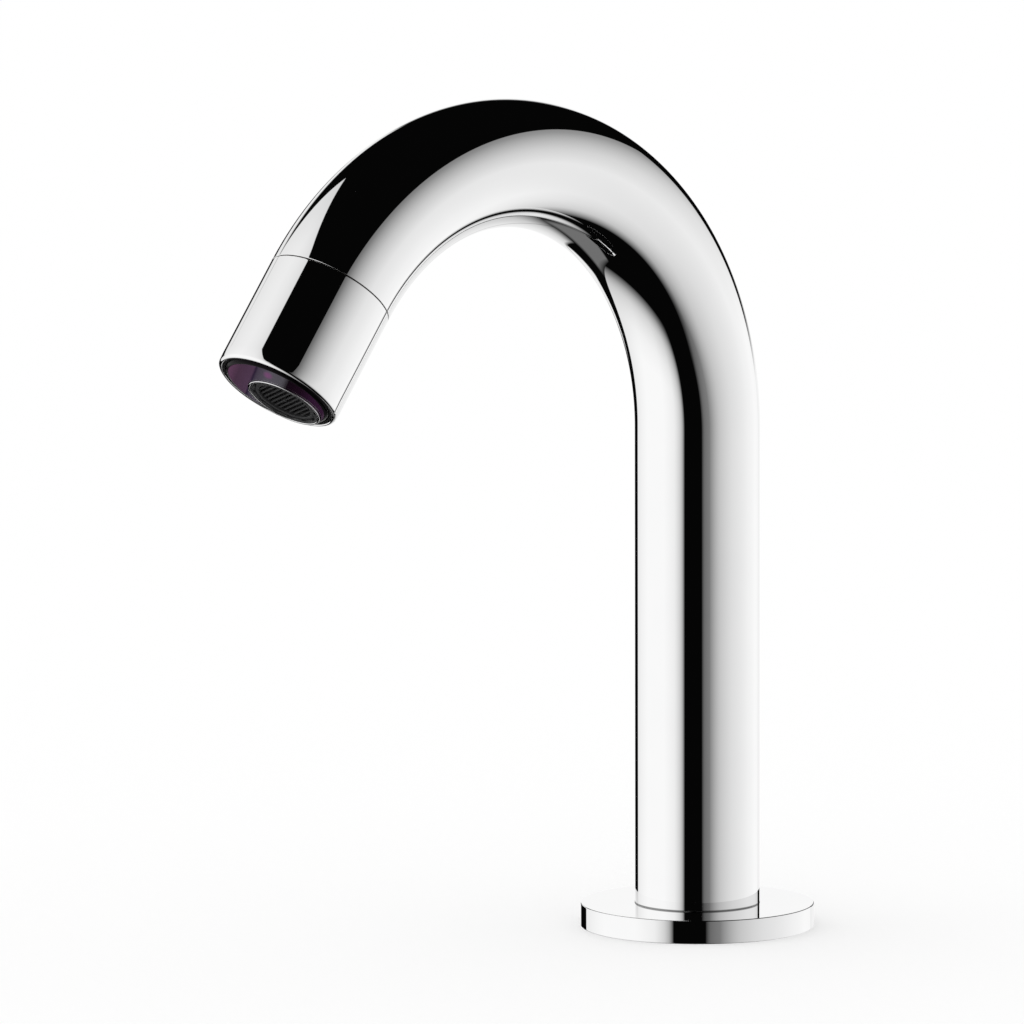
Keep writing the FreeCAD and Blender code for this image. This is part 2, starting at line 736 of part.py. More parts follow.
def build_diode(label, side):
    body = make_head_body(label, across=diode_y, along=board_top, side=side)
    sketch = make_sketch(body, "Can")
    add_circle(sketch, size("diode_od") / 2)
    tall = window_back - size("lens_gap") - board_top
    pad(body, sketch, tall)
    edge_break(body, "Fillet", size("lens_round"), lambda r, z: near(z, tall.value), "Lens")
    return body


def build_light_baffle():
    body = make_head_body("light_baffle", along=board_top)
    sketch = make_sketch(body, "Block")
    half = size("baffle_thick") / 2
    low = outlet_y + pocket_inner + size("fit_loose")
    high = window_r - size("window_skirt") - size("baffle_gap")
    add_box(sketch, -half, half, low, high)
    pad(body, sketch, window_back - board_top)
    return body


def build_window_seal():
    body = make_head_body("window_seal", along=carrier_end)
    sketch = make_sketch(body, "Ring")
    add_circle(sketch, sleeve_bore_r - size("fit_soft"))
    add_circle(sketch, window_r + size("fit_soft"))
    pad(body, sketch, head_end - size("seal_sunk") - carrier_end)
    return body


def build_sensor_window():
    """Dark infrared-clear cap: crowned front with a soft rim, flat back, thin skirt, outlet hole."""
    body = make_head_body("sensor_window", along=carrier_end)
    edge = size("window_tall")
    back = edge - size("window_thick")
    crown = size("window_crown")
    skirt_r = window_r - size("window_skirt")
    sketch = make_sketch(body, "Section", "XZ_Plane")
    rise = crown.value
    rad = (window_r.value ** 2 + rise ** 2) / (2 * rise)
    top = edge.value + rise
    centre = V(0, top - rad, 0)
    soft = size("window_round")
    hub_r = window_r - soft
    hub_z = centre.y + math.sqrt((rad - soft.value) ** 2 - hub_r.value ** 2)
    turn = math.atan2(hub_z - centre.y, hub_r.value)
    arc = sketch.addGeometry(Part.ArcOfCircle(Part.Circle(centre, V(0, 0, 1), rad), turn, math.pi / 2))
    rim = sketch.addGeometry(Part.ArcOfCircle(
        Part.Circle(V(hub_r.value, hub_z, 0), V(0, 0, 1), soft.value), 0, turn))
    corner = sketch.addGeometry(Part.Point(V(window_r.value, edge.value, 0)), True)
    chain = [(window_r, Dim.of(hub_z)), (window_r, ZERO), (skirt_r, ZERO), (skirt_r, back), (ZERO, back)]
    lines = []
    for i in range(4):
        a = chain[i]
        b = chain[i + 1]
        lines.append(sketch.addGeometry(
            Part.LineSegment(V(a[0].value, a[1].value, 0), V(b[0].value, b[1].value, 0))))
    axis = sketch.addGeometry(Part.LineSegment(V(0, back.value, 0), V(0, top, 0)))
    for i, line in enumerate(lines):
        pin_x(sketch, line, 1, chain[i][0])
        if i > 0:
            pin_y(sketch, line, 1, chain[i][1])
        if i < 3:
            sketch.addConstraint(Sketcher.Constraint("Coincident", line, 2, lines[i + 1], 1))
    sketch.addConstraint(Sketcher.Constraint("Coincident", lines[3], 2, axis, 1))
    pin_x(sketch, axis, 1, ZERO)
    pin_y(sketch, axis, 1, back)
    sketch.addConstraint(Sketcher.Constraint("Coincident", axis, 2, arc, 2))
    pin_x(sketch, axis, 2, ZERO)
    pin_y(sketch, axis, 2, edge + crown)
    sketch.addConstraint(Sketcher.Constraint("PointOnObject", arc, 3, -2))
    pin_x(sketch, corner, 1, window_r)
    pin_y(sketch, corner, 1, edge)
    sketch.addConstraint(Sketcher.Constraint("PointOnObject", corner, 1, arc))
    sketch.addConstraint(Sketcher.Constraint("Tangent", rim, 2, arc, 1))
    sketch.addConstraint(Sketcher.Constraint("Tangent", lines[0], 1, rim, 1))
    held = sketch.addConstraint(Sketcher.Constraint("Radius", rim, soft.value))
    bind(sketch, "Constraints[%d]" % held, soft)
    revolve(body, sketch)
    hole = make_sketch(body, "OutletHole")
    add_circle(hole, collar_r + size("fit_loose"), ZERO, outlet_y)
    pocket(body, hole, None, False, "OutletHole")
    return body


# ---------------------------------------------------------------- outlet and aerator
def build_outlet_nozzle():
    """One turned piece: collar for the aerator, web, stem and hose barbs."""
    body = make_head_body("outlet_nozzle", across=outlet_y)
    low = nozzle_from
    bore = size("barb_bore") / 2
    barb_from = stem_from - size("barb_step") * BARBS
    corners = [(bore, barb_from)]
    level = barb_from
    for _ in range(BARBS):
        corners.append((barb_r - size("barb_drop"), level))
        corners.append((barb_r, level + size("barb_step")))
        level = level + size("barb_step")
    corners += [
        (size("stem_od") / 2, stem_from),
        (size("stem_od") / 2, low),
        (collar_r, low),
        (collar_r, collar_end),
        (collar_bore_r, collar_end),
        (collar_bore_r, web_end),
        (size("stem_bore") / 2, web_end),
        (size("stem_bore") / 2, low),
        (bore, low - size("bore_cone")),
    ]
    turned(body, corners)
    return body


def build_aerator_gasket():
    body = make_head_body("aerator_gasket", across=outlet_y, along=web_end)
    sketch = make_sketch(body, "Ring")
    add_circle(sketch, cartridge_r)
    add_circle(sketch, cartridge_inlet_r)
    pad(body, sketch, size("cartridge_gasket"))
    return body


def build_aerator_housing():
    """Screw-in cartridge shell with an inlet lip and the key slots in its outer end."""
    body = make_head_body("aerator_housing", across=outlet_y, along=cartridge_from)
    tall = cartridge_end - cartridge_from
    lip = size("cartridge_lip")
    turned(body, [
        (cartridge_inlet_r, ZERO),
        (cartridge_r, ZERO),
        (cartridge_r, tall),
        (cartridge_bore_r, tall),
        (cartridge_bore_r, lip),
        (cartridge_inlet_r, lip),
    ])
    slot = make_sketch(body, "KeySlot", "XY_Plane", tall)
    half = size("key_wide") / 2
    add_box(slot, cartridge_bore_r - size("cut_over"), cartridge_r - size("key_wall"), -half, half)
    cut = pocket(body, slot, size("key_deep"), False, "KeySlot")
    around(body, cut, size("key_slots"), "KeySlots")
    return body


core_from = cartridge_from + size("cartridge_lip")
regulator_from = core_from + size("screen_thick")
jet_from = regulator_from + size("regulator_thick")
grid_end = cartridge_end - size("grid_sunk")
grid_from = grid_end - size("grid_tall")


def build_filter_screen():
    body = make_head_body("filter_screen", across=outlet_y, along=core_from)
    thick = size("screen_thick")
    foot = cartridge_inlet_r - size("screen_inset")
    shoulder = foot - size("screen_rise")
    turned(body, [
        (foot, ZERO),
        (core_r, ZERO),
        (core_r, thick),
        (foot - thick, thick),
        (shoulder - thick, thick - size("screen_rise")),
        (ZERO, thick - size("screen_rise")),
        (ZERO, -size("screen_rise")),
        (shoulder, -size("screen_rise")),
    ])
    return body


def build_flow_regulator():
    body = make_head_body("flow_regulator", across=outlet_y, along=regulator_from)
    disc = make_sketch(body, "Disc")
    add_circle(disc, core_r)
    pad(body, disc, size("regulator_thick"))
    channel = make_sketch(body, "Channel")
    add_circle(channel, size("channel_out") / 2)
    add_circle(channel, size("channel_in") / 2)
    pocket(body, channel, size("channel_deep"), True, "Channel")
    meter = make_sketch(body, "Meter")
    add_circle(meter, size("meter_bore") / 2, (size("channel_in") + size("channel_out")) / 4, ZERO)
    cut = pocket(body, meter, None, False, "Meter")
    around(body, cut, size("meter_count"), "Meters")
    return body


def build_regulator_seal():
    cord = size("regulator_cord")
    body = make_head_body("regulator_o_ring", across=outlet_y,
                          along=regulator_from + size("channel_deep") - cord / 2 - size("fit_soft"))
    seal_ring(body, size("channel_in") / 2 + size("fit_soft") + cord / 2, cord)
    return body


def build_jet_plate():
    body = make_head_body("jet_plate", across=outlet_y, along=jet_from)
    disc = make_sketch(body, "Disc")
    add_circle(disc, core_r)
    pad(body, disc, size("jet_thick"))
    hole = make_sketch(body, "Jet")
    add_circle(hole, size("jet_bore") / 2, size("jet_circle") / 2, ZERO)
    cut = pocket(body, hole, None, False, "Jet")
    around(body, cut, size("jet_count"), "Jets")
    return body


def build_aerator_grid():
    """Outlet grid: ring, parallel slats trimmed to the ring, centre pin."""
    body = make_head_body("aerator_grid", across=outlet_y, along=grid_from)
    ring = make_sketch(body, "Ring")
    add_circle(ring, core_r)
    add_circle(ring, core_r - size("grid_ring"))
    pad(body, ring, size("grid_tall"), "Ring")
    slat = make_sketch(body, "Slat")
    bind(slat, "AttachmentOffset.Rotation.Angle", size("slat_turn"))
    bind(slat, "AttachmentOffset.Rotation.Axis.x", ZERO)
    bind(slat, "AttachmentOffset.Rotation.Axis.y", ZERO)
    bind(slat, "AttachmentOffset.Rotation.Axis.z", Dim(1, "1"))
    half = size("slat_thick") / 2
    span = size("slat_pitch") * (size("slat_count") - 1)
    reach = core_r - size("grid_ring") / 2
    add_box(slat, -reach, reach, -span / 2 - half, -span / 2 + half)
    bar = pad(body, slat, size("grid_tall") - size("slat_sunk"), "Slat")
    bars = body.newObject("PartDesign::LinearPattern", "aerator_grid_Slats")
    bars.Originals = [bar]
    bars.Direction = (slat, ["V_Axis"])
    bars.Length = span.value
    bind(bars, "Length", span)
    bars.Occurrences = int(size("slat_count").value)
    bind(bars, "Occurrences", size("slat_count"))
    body.Tip = bars
    trim = make_sketch(body, "Trim", "XZ_Plane")
    add_box(trim, core_r, core_r * 2, -size("cut_over"),
            size("grid_tall") + size("cut_over"))
    groove(body, trim, "Trim")
    pin = make_sketch(body, "Pin")
    add_circle(pin, size("pin_od") / 2)
    pad(body, pin, size("grid_tall") - size("slat_sunk") + size("pin_proud"), "Pin")
    return body


# ---------------------------------------------------------------- build everything
PIECES = [
    build_spout_tube(),
    build_base_flange(),
    build_flange_seal(),
    build_deck_gasket(),
    build_base_insert(),
    build_inlet_washer(),
    build_hose_nipple(),
    build_water_hose(),
    ferrule(make_body("lower_ferrule", y=outlet_y, z=hose_from + size("ferrule_gap"))),
    ferrule(make_head_body("upper_ferrule", across=outlet_y,
                           along=hose_until - size("ferrule_long") - size("ferrule_gap"))),
    build_sensor_cable(),
    build_cable_gland(),
    build_head_sleeve(),
    build_neck_coupling(),
    build_neck_seal(),
    build_head_screw(),
    build_sensor_carrier(),
    build_sensor_board(),
    build_diode("ir_emitter", -size("diode_gap") / 2),
    build_diode("ir_receiver", size("diode_gap") / 2),
    build_light_baffle(),
    build_window_seal(),
    build_sensor_window(),
    build_outlet_nozzle(),
    build_aerator_gasket(),
    build_aerator_housing(),
    build_filter_screen(),
    build_flow_regulator(),
    build_regulator_seal(),
    build_jet_plate(),
    build_aerator_grid(),
]

doc.recompute()

for item in doc.Objects:
    bad = [word for word in item.State if word in ("Invalid", "Error")]
    if bad:
        raise RuntimeError("%s is %s" % (item.Label, bad))

CUTS = ("PartDesign::Pocket", "PartDesign::Groove")
for body in PIECES:
    previous = None
    for item in body.Group:
        if not item.isDerivedFrom("PartDesign::Feature"):
            continue
        if item.TypeId in CUTS and previous is not None:
            if item.Shape.Volume >= previous.Shape.Volume - 1e-6:
                raise RuntimeError("%s removes nothing" % item.Label)
        previous = item

os.makedirs("parts", exist_ok=True)
for body in PIECES:
    shape = body.Shape
    if shape.isNull() or not shape.isValid():
        raise RuntimeError("%s has no valid shape" % body.Label)
    if len(shape.Solids) != 1:
        raise RuntimeError("%s has %d solids" % (body.Label, len(shape.Solids)))
    shape.exportStep("parts/%s.step" % body.Label)
    box = shape.BoundBox
    print("%-18s %9.1f mm3  x %.2f..%.2f  y %.2f..%.2f  z %.2f..%.2f" % (
        body.Label, shape.Volume, box.XMin, box.XMax, box.YMin, box.YMax, box.ZMin, box.ZMax))
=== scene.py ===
"""Looks of the deck-mounted sensor tap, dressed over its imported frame.

Metres, in the frame of the construction model: the tap stands on the deck at the origin, its spout
reaches towards -Y and +Z is up. The mouth's pieces are built about their own axis and then turned
into place, where +Z runs out of the mouth and +Y points at the window's wide, upper side.
"""
import logging
import math
from dataclasses import dataclass
from enum import Enum
from typing import Any, Mapping, Sequence

import bmesh
import bpy
from mathutils import Matrix, Vector


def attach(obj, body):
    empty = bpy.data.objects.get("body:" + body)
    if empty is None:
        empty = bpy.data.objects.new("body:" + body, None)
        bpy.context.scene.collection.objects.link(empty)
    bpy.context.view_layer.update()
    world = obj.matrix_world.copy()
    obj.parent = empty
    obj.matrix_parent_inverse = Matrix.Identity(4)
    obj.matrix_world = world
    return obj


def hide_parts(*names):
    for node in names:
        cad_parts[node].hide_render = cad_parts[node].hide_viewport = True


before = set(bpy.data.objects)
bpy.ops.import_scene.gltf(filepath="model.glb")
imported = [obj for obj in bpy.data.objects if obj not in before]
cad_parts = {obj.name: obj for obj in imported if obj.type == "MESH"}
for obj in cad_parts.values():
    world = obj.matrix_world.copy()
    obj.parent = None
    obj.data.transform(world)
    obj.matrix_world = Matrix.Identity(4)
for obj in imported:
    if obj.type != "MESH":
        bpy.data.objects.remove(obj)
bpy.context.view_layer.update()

log = logging.getLogger("tap")

Rgb = tuple[float, float, float]
Point = tuple[float, float, float]
Stops = tuple[tuple[float, float], ...]

MM = 0.001
ON_AXIS = 1e-9  # an outline's point within this radius lies on the turning axis
SAME_POINT = 0.0005 * MM  # points within this distance are one
BODY_TAP = "tap"
BODY_AERATOR = "aerator"


# ------------------------------------------------------------------------------- node writing
class Value:
    """A number inside a node tree. Arithmetic on it adds the Math nodes that work it out."""

    def __init__(self, board: "Board", socket: bpy.types.NodeSocket) -> None:
        """Wraps one output socket of the board's tree."""
        self.board = board
        self.socket = socket

    def _math(self, operation: str, *terms: Any, clamp: bool = False) -> "Value":
        """Adds one Math node.

        Args:
            operation: The node's operation.
            terms: Its inputs in order, values or plain numbers.
            clamp: Whether the result is kept between 0 and 1.

        Returns:
            The node's result.
        """
        node = self.board.node(
            "ShaderNodeMath",
            {"operation": operation, "use_clamp": clamp},
            dict(enumerate(terms)),
        )
        return Value(self.board, node.outputs[0])

    def __add__(self, other: Any) -> "Value":
        """Sum."""
        return self._math("ADD", self, other)

    __radd__ = __add__

    def __sub__(self, other: Any) -> "Value":
        """Difference."""
        return self._math("SUBTRACT", self, other)

    def __rsub__(self, other: Any) -> "Value":
        """Difference from a plain number."""
        return self._math("SUBTRACT", other, self)

    def __mul__(self, other: Any) -> "Value":
        """Product."""
        return self._math("MULTIPLY", self, other)

    __rmul__ = __mul__

    def __truediv__(self, other: Any) -> "Value":
        """Quotient."""
        return self._math("DIVIDE", self, other)

    def __rtruediv__(self, other: Any) -> "Value":
        """Quotient of a plain number."""
        return self._math("DIVIDE", other, self)

    def __gt__(self, other: Any) -> "Value":
        """1 where this is the greater, else 0."""
        return self._math("GREATER_THAN", self, other)

    def least(self, other: Any) -> "Value":
        """The smaller of the two."""
        return self._math("MINIMUM", self, other)

    def most(self, other: Any) -> "Value":
        """The greater of the two."""
        return self._math("MAXIMUM", self, other)

    def floor(self) -> "Value":
        """The whole number below."""
        return self._math("FLOOR", self)

    def root(self) -> "Value":
        """Square root."""
        return self._math("SQRT", self)

    def sine(self) -> "Value":
        """Sine of an angle in radians."""
        return self._math("SINE", self)

    def cosine(self) -> "Value":
        """Cosine of an angle in radians."""
        return self._math("COSINE", self)

    def held(self) -> "Value":
        """The same, kept between 0 and 1."""
        return self._math("ADD", self, 0.0, clamp=True)


class Board:
    """A node tree under construction."""

    MIX_FIRST = 6  # the Mix node's sockets for colours, which share their names with others
    MIX_SECOND = 7
    MIX_RESULT = 2

    def __init__(self, tree: bpy.types.NodeTree) -> None:
        """Starts on a tree."""
        self.tree = tree

    def node(
        self,
        kind: str,
        settings: Mapping[str, Any] | None = None,
        sockets: Mapping[str | int, Any] | None = None,
    ) -> bpy.types.Node:
        """Adds one node.

        Args:
            kind: The node's type.
            settings: Its properties, set first. "stops" fills a Color Ramp with pairs of place
                and colour.
            sockets: Values or links of its inputs, by name or number.

        Returns:
            The new node.
        """
        node = self.tree.nodes.new(kind)
        for name, setting in (settings or {}).items():
            if name == "stops":
                self._fill_ramp(node.color_ramp, setting)
            else:
                setattr(node, name, setting)
        for key, value in (sockets or {}).items():
            self.feed(node.inputs[key], value)
        return node

    def feed(self, entry: bpy.types.NodeSocket, value: Any) -> None:
        """Links a value to an input, or sets the input to a plain one.

        Args:
            entry: The input.
            value: A Value, a socket, a number, a colour or a datablock.
        """
        if isinstance(value, Value):
            self.tree.links.new(value.socket, entry)
        elif isinstance(value, bpy.types.NodeSocket):
            self.tree.links.new(value, entry)
        else:
            entry.default_value = value

    def value(self, socket: bpy.types.NodeSocket) -> Value:
        """Wraps an output for arithmetic."""
        return Value(self, socket)

    @staticmethod
    def _fill_ramp(
        ramp: bpy.types.ColorRamp, stops: Sequence[tuple[float, Sequence[float]]]
    ) -> None:
        """Writes the stops of a ramp.

        Args:
            ramp: The node's ramp, which has some stops from the start.
            stops: Place and RGBA colour of each stop, in order.
        """
        there = len(ramp.elements)
        for index, (place, colour) in enumerate(stops):
            stop = ramp.elements[index] if index < there else ramp.elements.new(place)
            stop.position = place
            stop.color = colour

    def ramp(self, place: Value, stops: Sequence[tuple[float, Any]]) -> bpy.types.NodeSocket:
        """Looks a colour up between stops, with a Color Ramp.

        Args:
            place: Where to look, in the same measure as the stops' places.
            stops: Place and grey level, or place and RGB colour, of each stop, in order.

        Returns:
            The colour there.
        """
        first = stops[0][0]
        span = stops[-1][0] - first
        factor = ((place - first) / span).held()
        filled = []
        for at, tone in stops:
            rgb = (tone, tone, tone) if isinstance(tone, (int, float)) else tone
            filled.append(((at - first) / span, (*rgb, 1.0)))
        return self.node("ShaderNodeValToRGB", {"stops": filled}, {"Fac": factor}).outputs["Color"]

    def mix(self, factor: Any, first: Any, second: Any) -> bpy.types.NodeSocket:
        """Blends two colours.

        Args:
            factor: Share of the second, 0 to 1.
            first: Colour or socket at 0.
            second: Colour or socket at 1.

        Returns:
            The blended colour.
        """
        node = self.node(
            "ShaderNodeMix",
            {"data_type": "RGBA"},
            {0: factor, self.MIX_FIRST: self._rgba(first), self.MIX_SECOND: self._rgba(second)},
        )
        return node.outputs[self.MIX_RESULT]

    def along(self, vector: bpy.types.NodeSocket, axis: Sequence[float]) -> Value:
        """Measures a vector along an axis.

        Args:
            vector: The vector.
            axis: The axis, one unit long.

        Returns:
            Its length along the axis.
        """
        node = self.node(
            "ShaderNodeVectorMath", {"operation": "DOT_PRODUCT"}, {0: vector, 1: axis}
        )
        return self.value(node.outputs["Value"])

    @staticmethod
    def _rgba(tone: Any) -> Any:
        """Gives a plain RGB colour its alpha.

        Args:
            tone: A colour or a socket.

        Returns:
            The RGBA colour, or the socket as it was.
        """
        if isinstance(tone, (tuple, list)) and len(tone) == 3:
            return (*tone, 1.0)
        return tone


# ------------------------------------------------------------------------------- finishes
class Grain(Enum):
    """How a surface was made, which sets the pattern of its fine marks."""

    MOULDED = "moulded"
    BRAIDED = "braided"


@dataclass(frozen=True)
class Finish:
    """One surface finish of the tap.

    Attributes:
        name: The material's name.
        slot: The record's slot that the finish dresses.
        colour: Main colour, linear RGB.
        shade: The colour that it drifts towards in patches.
        metallic: 1 for metal, 0 for plastic and rubber.
        roughness: Lowest and highest roughness.
        grain: How the surface was made.
        patch: Patches to the metre.
        relief: Depth of the fine marks, in metres.
        grain_scale: Marks to the metre.
        index: Index of refraction.
        tint: Tint of the reflections.
        level: Strength of the reflections, 0.5 as the index gives them.
    """

    PATCH_FROM = 0.35  # noise at which the patches start
    PATCH_GAIN = 3.0  # how fast they reach their full tone

    name: str
    slot: str
    colour: Rgb
    shade: Rgb
    metallic: float = 0.0
    roughness: tuple[float, float] = (0.3, 0.4)
    grain: Grain = Grain.MOULDED
    patch: float = 40.0
    relief: float = 0.0
    grain_scale: float = 3000.0
    index: float = 1.5
    tint: Rgb = (1.0, 1.0, 1.0)
    level: float = 0.5

    def build(self) -> bpy.types.Material:
        """Makes the material.

        Returns:
            The node material.
        """
        material = bpy.data.materials.new(self.name)
        material.use_nodes = True
        material.diffuse_color = (*self.colour, 1.0)
        board = Board(material.node_tree)
        shader = material.node_tree.nodes["Principled BSDF"]
        where = board.node("ShaderNodeTexCoord").outputs["Object"]
        patches = board.value(
            board.node(
                "ShaderNodeTexNoise",
                {},
                {"Vector": where, "Scale": self.patch, "Detail": 4.0, "Roughness": 0.55},
            ).outputs["Fac"]
        )
        drift = ((patches - self.PATCH_FROM) * self.PATCH_GAIN).held()
        self.dress(board, shader, where, drift)
        board.feed(shader.inputs["Metallic"], self.metallic)
        board.feed(shader.inputs["IOR"], self.index)
        board.feed(shader.inputs["Specular Tint"], (*self.tint, 1.0))
        board.feed(shader.inputs["Specular IOR Level"], self.level)
        return material

    def dress(
        self, board: Board, shader: bpy.types.Node, where: bpy.types.NodeSocket, drift: Value
    ) -> None:
        """Feeds colour, roughness and relief into the shader.

        Args:
            board: The material's tree.
            shader: Its Principled shader.
            where: Object coordinates.
            drift: Soft patches, 0 to 1.
        """
        board.feed(shader.inputs["Base Color"], self.tone(board, drift))
        board.feed(shader.inputs["Roughness"], self.dullness(drift))
        if self.relief > 0.0:
            bump = board.node(
                "ShaderNodeBump",
                {},
                {"Strength": 1.0, "Distance": self.relief, "Height": self.marks(board, where)},
            )
            board.feed(shader.inputs["Normal"], bump.outputs["Normal"])

    def tone(self, board: Board, drift: Value) -> bpy.types.NodeSocket:
        """Main colour, with its patches."""
        return board.mix(drift, self.colour, self.shade)

    def dullness(self, drift: Value) -> Value:
        """Roughness, which follows the patches."""
        low, high = self.roughness
        return low + drift * (high - low)

    def marks(self, board: Board, where: bpy.types.NodeSocket) -> Value:
        """Height of the fine marks that the making leaves.

        Args:
            board: The material's tree.
            where: Object coordinates.

        Returns:
            The height, 0 to 1.
        """
        if self.grain is Grain.BRAIDED:
            cells = board.node(
                "ShaderNodeTexVoronoi",
                {"feature": "SMOOTH_F1"},
                {"Vector": where, "Scale": self.grain_scale, "Smoothness": 0.3},
            )
            return board.value(cells.outputs["Distance"])
        noise = board.node(
            "ShaderNodeTexNoise",
            {},
            {"Vector": where, "Scale": self.grain_scale, "Detail": 3.0},
        )
        return board.value(noise.outputs["Fac"])


@dataclass(frozen=True)
class PolishedChrome(Finish):
    """Mirror chrome, with painted contact shade and added roughness in a line where the tube meets
    the flange.

    Attributes:
        corner_from: Height of the flange's top, where the painted contact shade starts.
        corner_up: Height at which the painted shade is darkest and the roughness highest.
        corner_wide: How far the painted shade reaches on either side.
        contact_shade_tint: Its colour.
        corner_rough: What it adds to the roughness.
    """

    corner_from: float = 6.004 * MM
    corner_up: float = 6.1 * MM
    corner_wide: float = 0.3 * MM
    contact_shade_tint: Rgb = (0.22, 0.22, 0.22)
    corner_rough: float = 0.12

    def dress(
        self, board: Board, shader: bpy.types.Node, where: bpy.types.NodeSocket, drift: Value
    ) -> None:
        """Lays the painted contact shade, with its added roughness, over the polish.

        Args:
            board: The material's tree.
            shader: Its Principled shader.
            where: Object coordinates.
            drift: Soft patches, 0 to 1.
        """
        up = board.value(board.node("ShaderNodeSeparateXYZ", {}, {0: where}).outputs["Z"])
        away = (up - self.corner_up) / self.corner_wide
        # painted contact shade: a dark line on the chrome just above the flange's top, where tube
        # and flange meet
        line = (1.0 - away * away).held() * (up > self.corner_from)
        polished = self.tone(board, drift)
        # the chrome is darkened towards the painted shade's colour along that line
        board.feed(shader.inputs["Base Color"], board.mix(line, polished, self.contact_shade_tint))
        board.feed(shader.inputs["Roughness"], self.dullness(drift) + line * self.corner_rough)


@dataclass(frozen=True)
class TurnedMetal(Finish):
    """Metal with cutting rings about the leg's axis."""

    def marks(self, board: Board, where: bpy.types.NodeSocket) -> Value:
        """Height of the cutting rings.

        Args:
            board: The material's tree.
            where: Object coordinates.

        Returns:
            The height, 0 to 1.
        """
        apart = board.node("ShaderNodeSeparateXYZ", {}, {0: where})
        x = board.value(apart.outputs["X"])
        y = board.value(apart.outputs["Y"])
        radius = (x * x + y * y).root()
        return (radius * self.grain_scale).sine() * 0.5 + 0.5


@dataclass(frozen=True)
class BoardCopper(Finish):
    """Circuit board: lacquer over copper tracks, with tinned pads where they meet.

    Attributes:
        track_colour: Lacquer where copper runs under it.
        pad_colour: Tinned pads.
        track_pitch: Tracks to the metre.
        track_from: Distance from a cell's middle at which its track starts, 0 to 1.
        pad_to: Distance to which its pad reaches.
        unrest: How far the cells stray from an even grid.
    """

    track_colour: Rgb = (0.04, 0.24, 0.11)
    pad_colour: Rgb = (0.75, 0.74, 0.7)
    track_pitch: float = 900.0
    track_from: float = 0.42
    pad_to: float = 0.12
    unrest: float = 0.2

    def dress(
        self, board: Board, shader: bpy.types.Node, where: bpy.types.NodeSocket, drift: Value
    ) -> None:
        """Adds the tracks and pads to the lacquer.

        Args:
            board: The material's tree.
            shader: Its Principled shader.
            where: Object coordinates.
            drift: Soft patches, 0 to 1.
        """
        cells = board.node(
            "ShaderNodeTexVoronoi",
            {"distance": "CHEBYCHEV"},
            {"Vector": where, "Scale": self.track_pitch, "Randomness": self.unrest},
        )
        distance = board.value(cells.outputs["Distance"])
        track = distance > self.track_from
        pad = 1.0 - (distance > self.pad_to)
        copper = board.mix(track, self.tone(board, drift), self.track_colour)
        board.feed(shader.inputs["Base Color"], board.mix(pad, copper, self.pad_colour))
        board.feed(shader.inputs["Roughness"], self.dullness(drift))


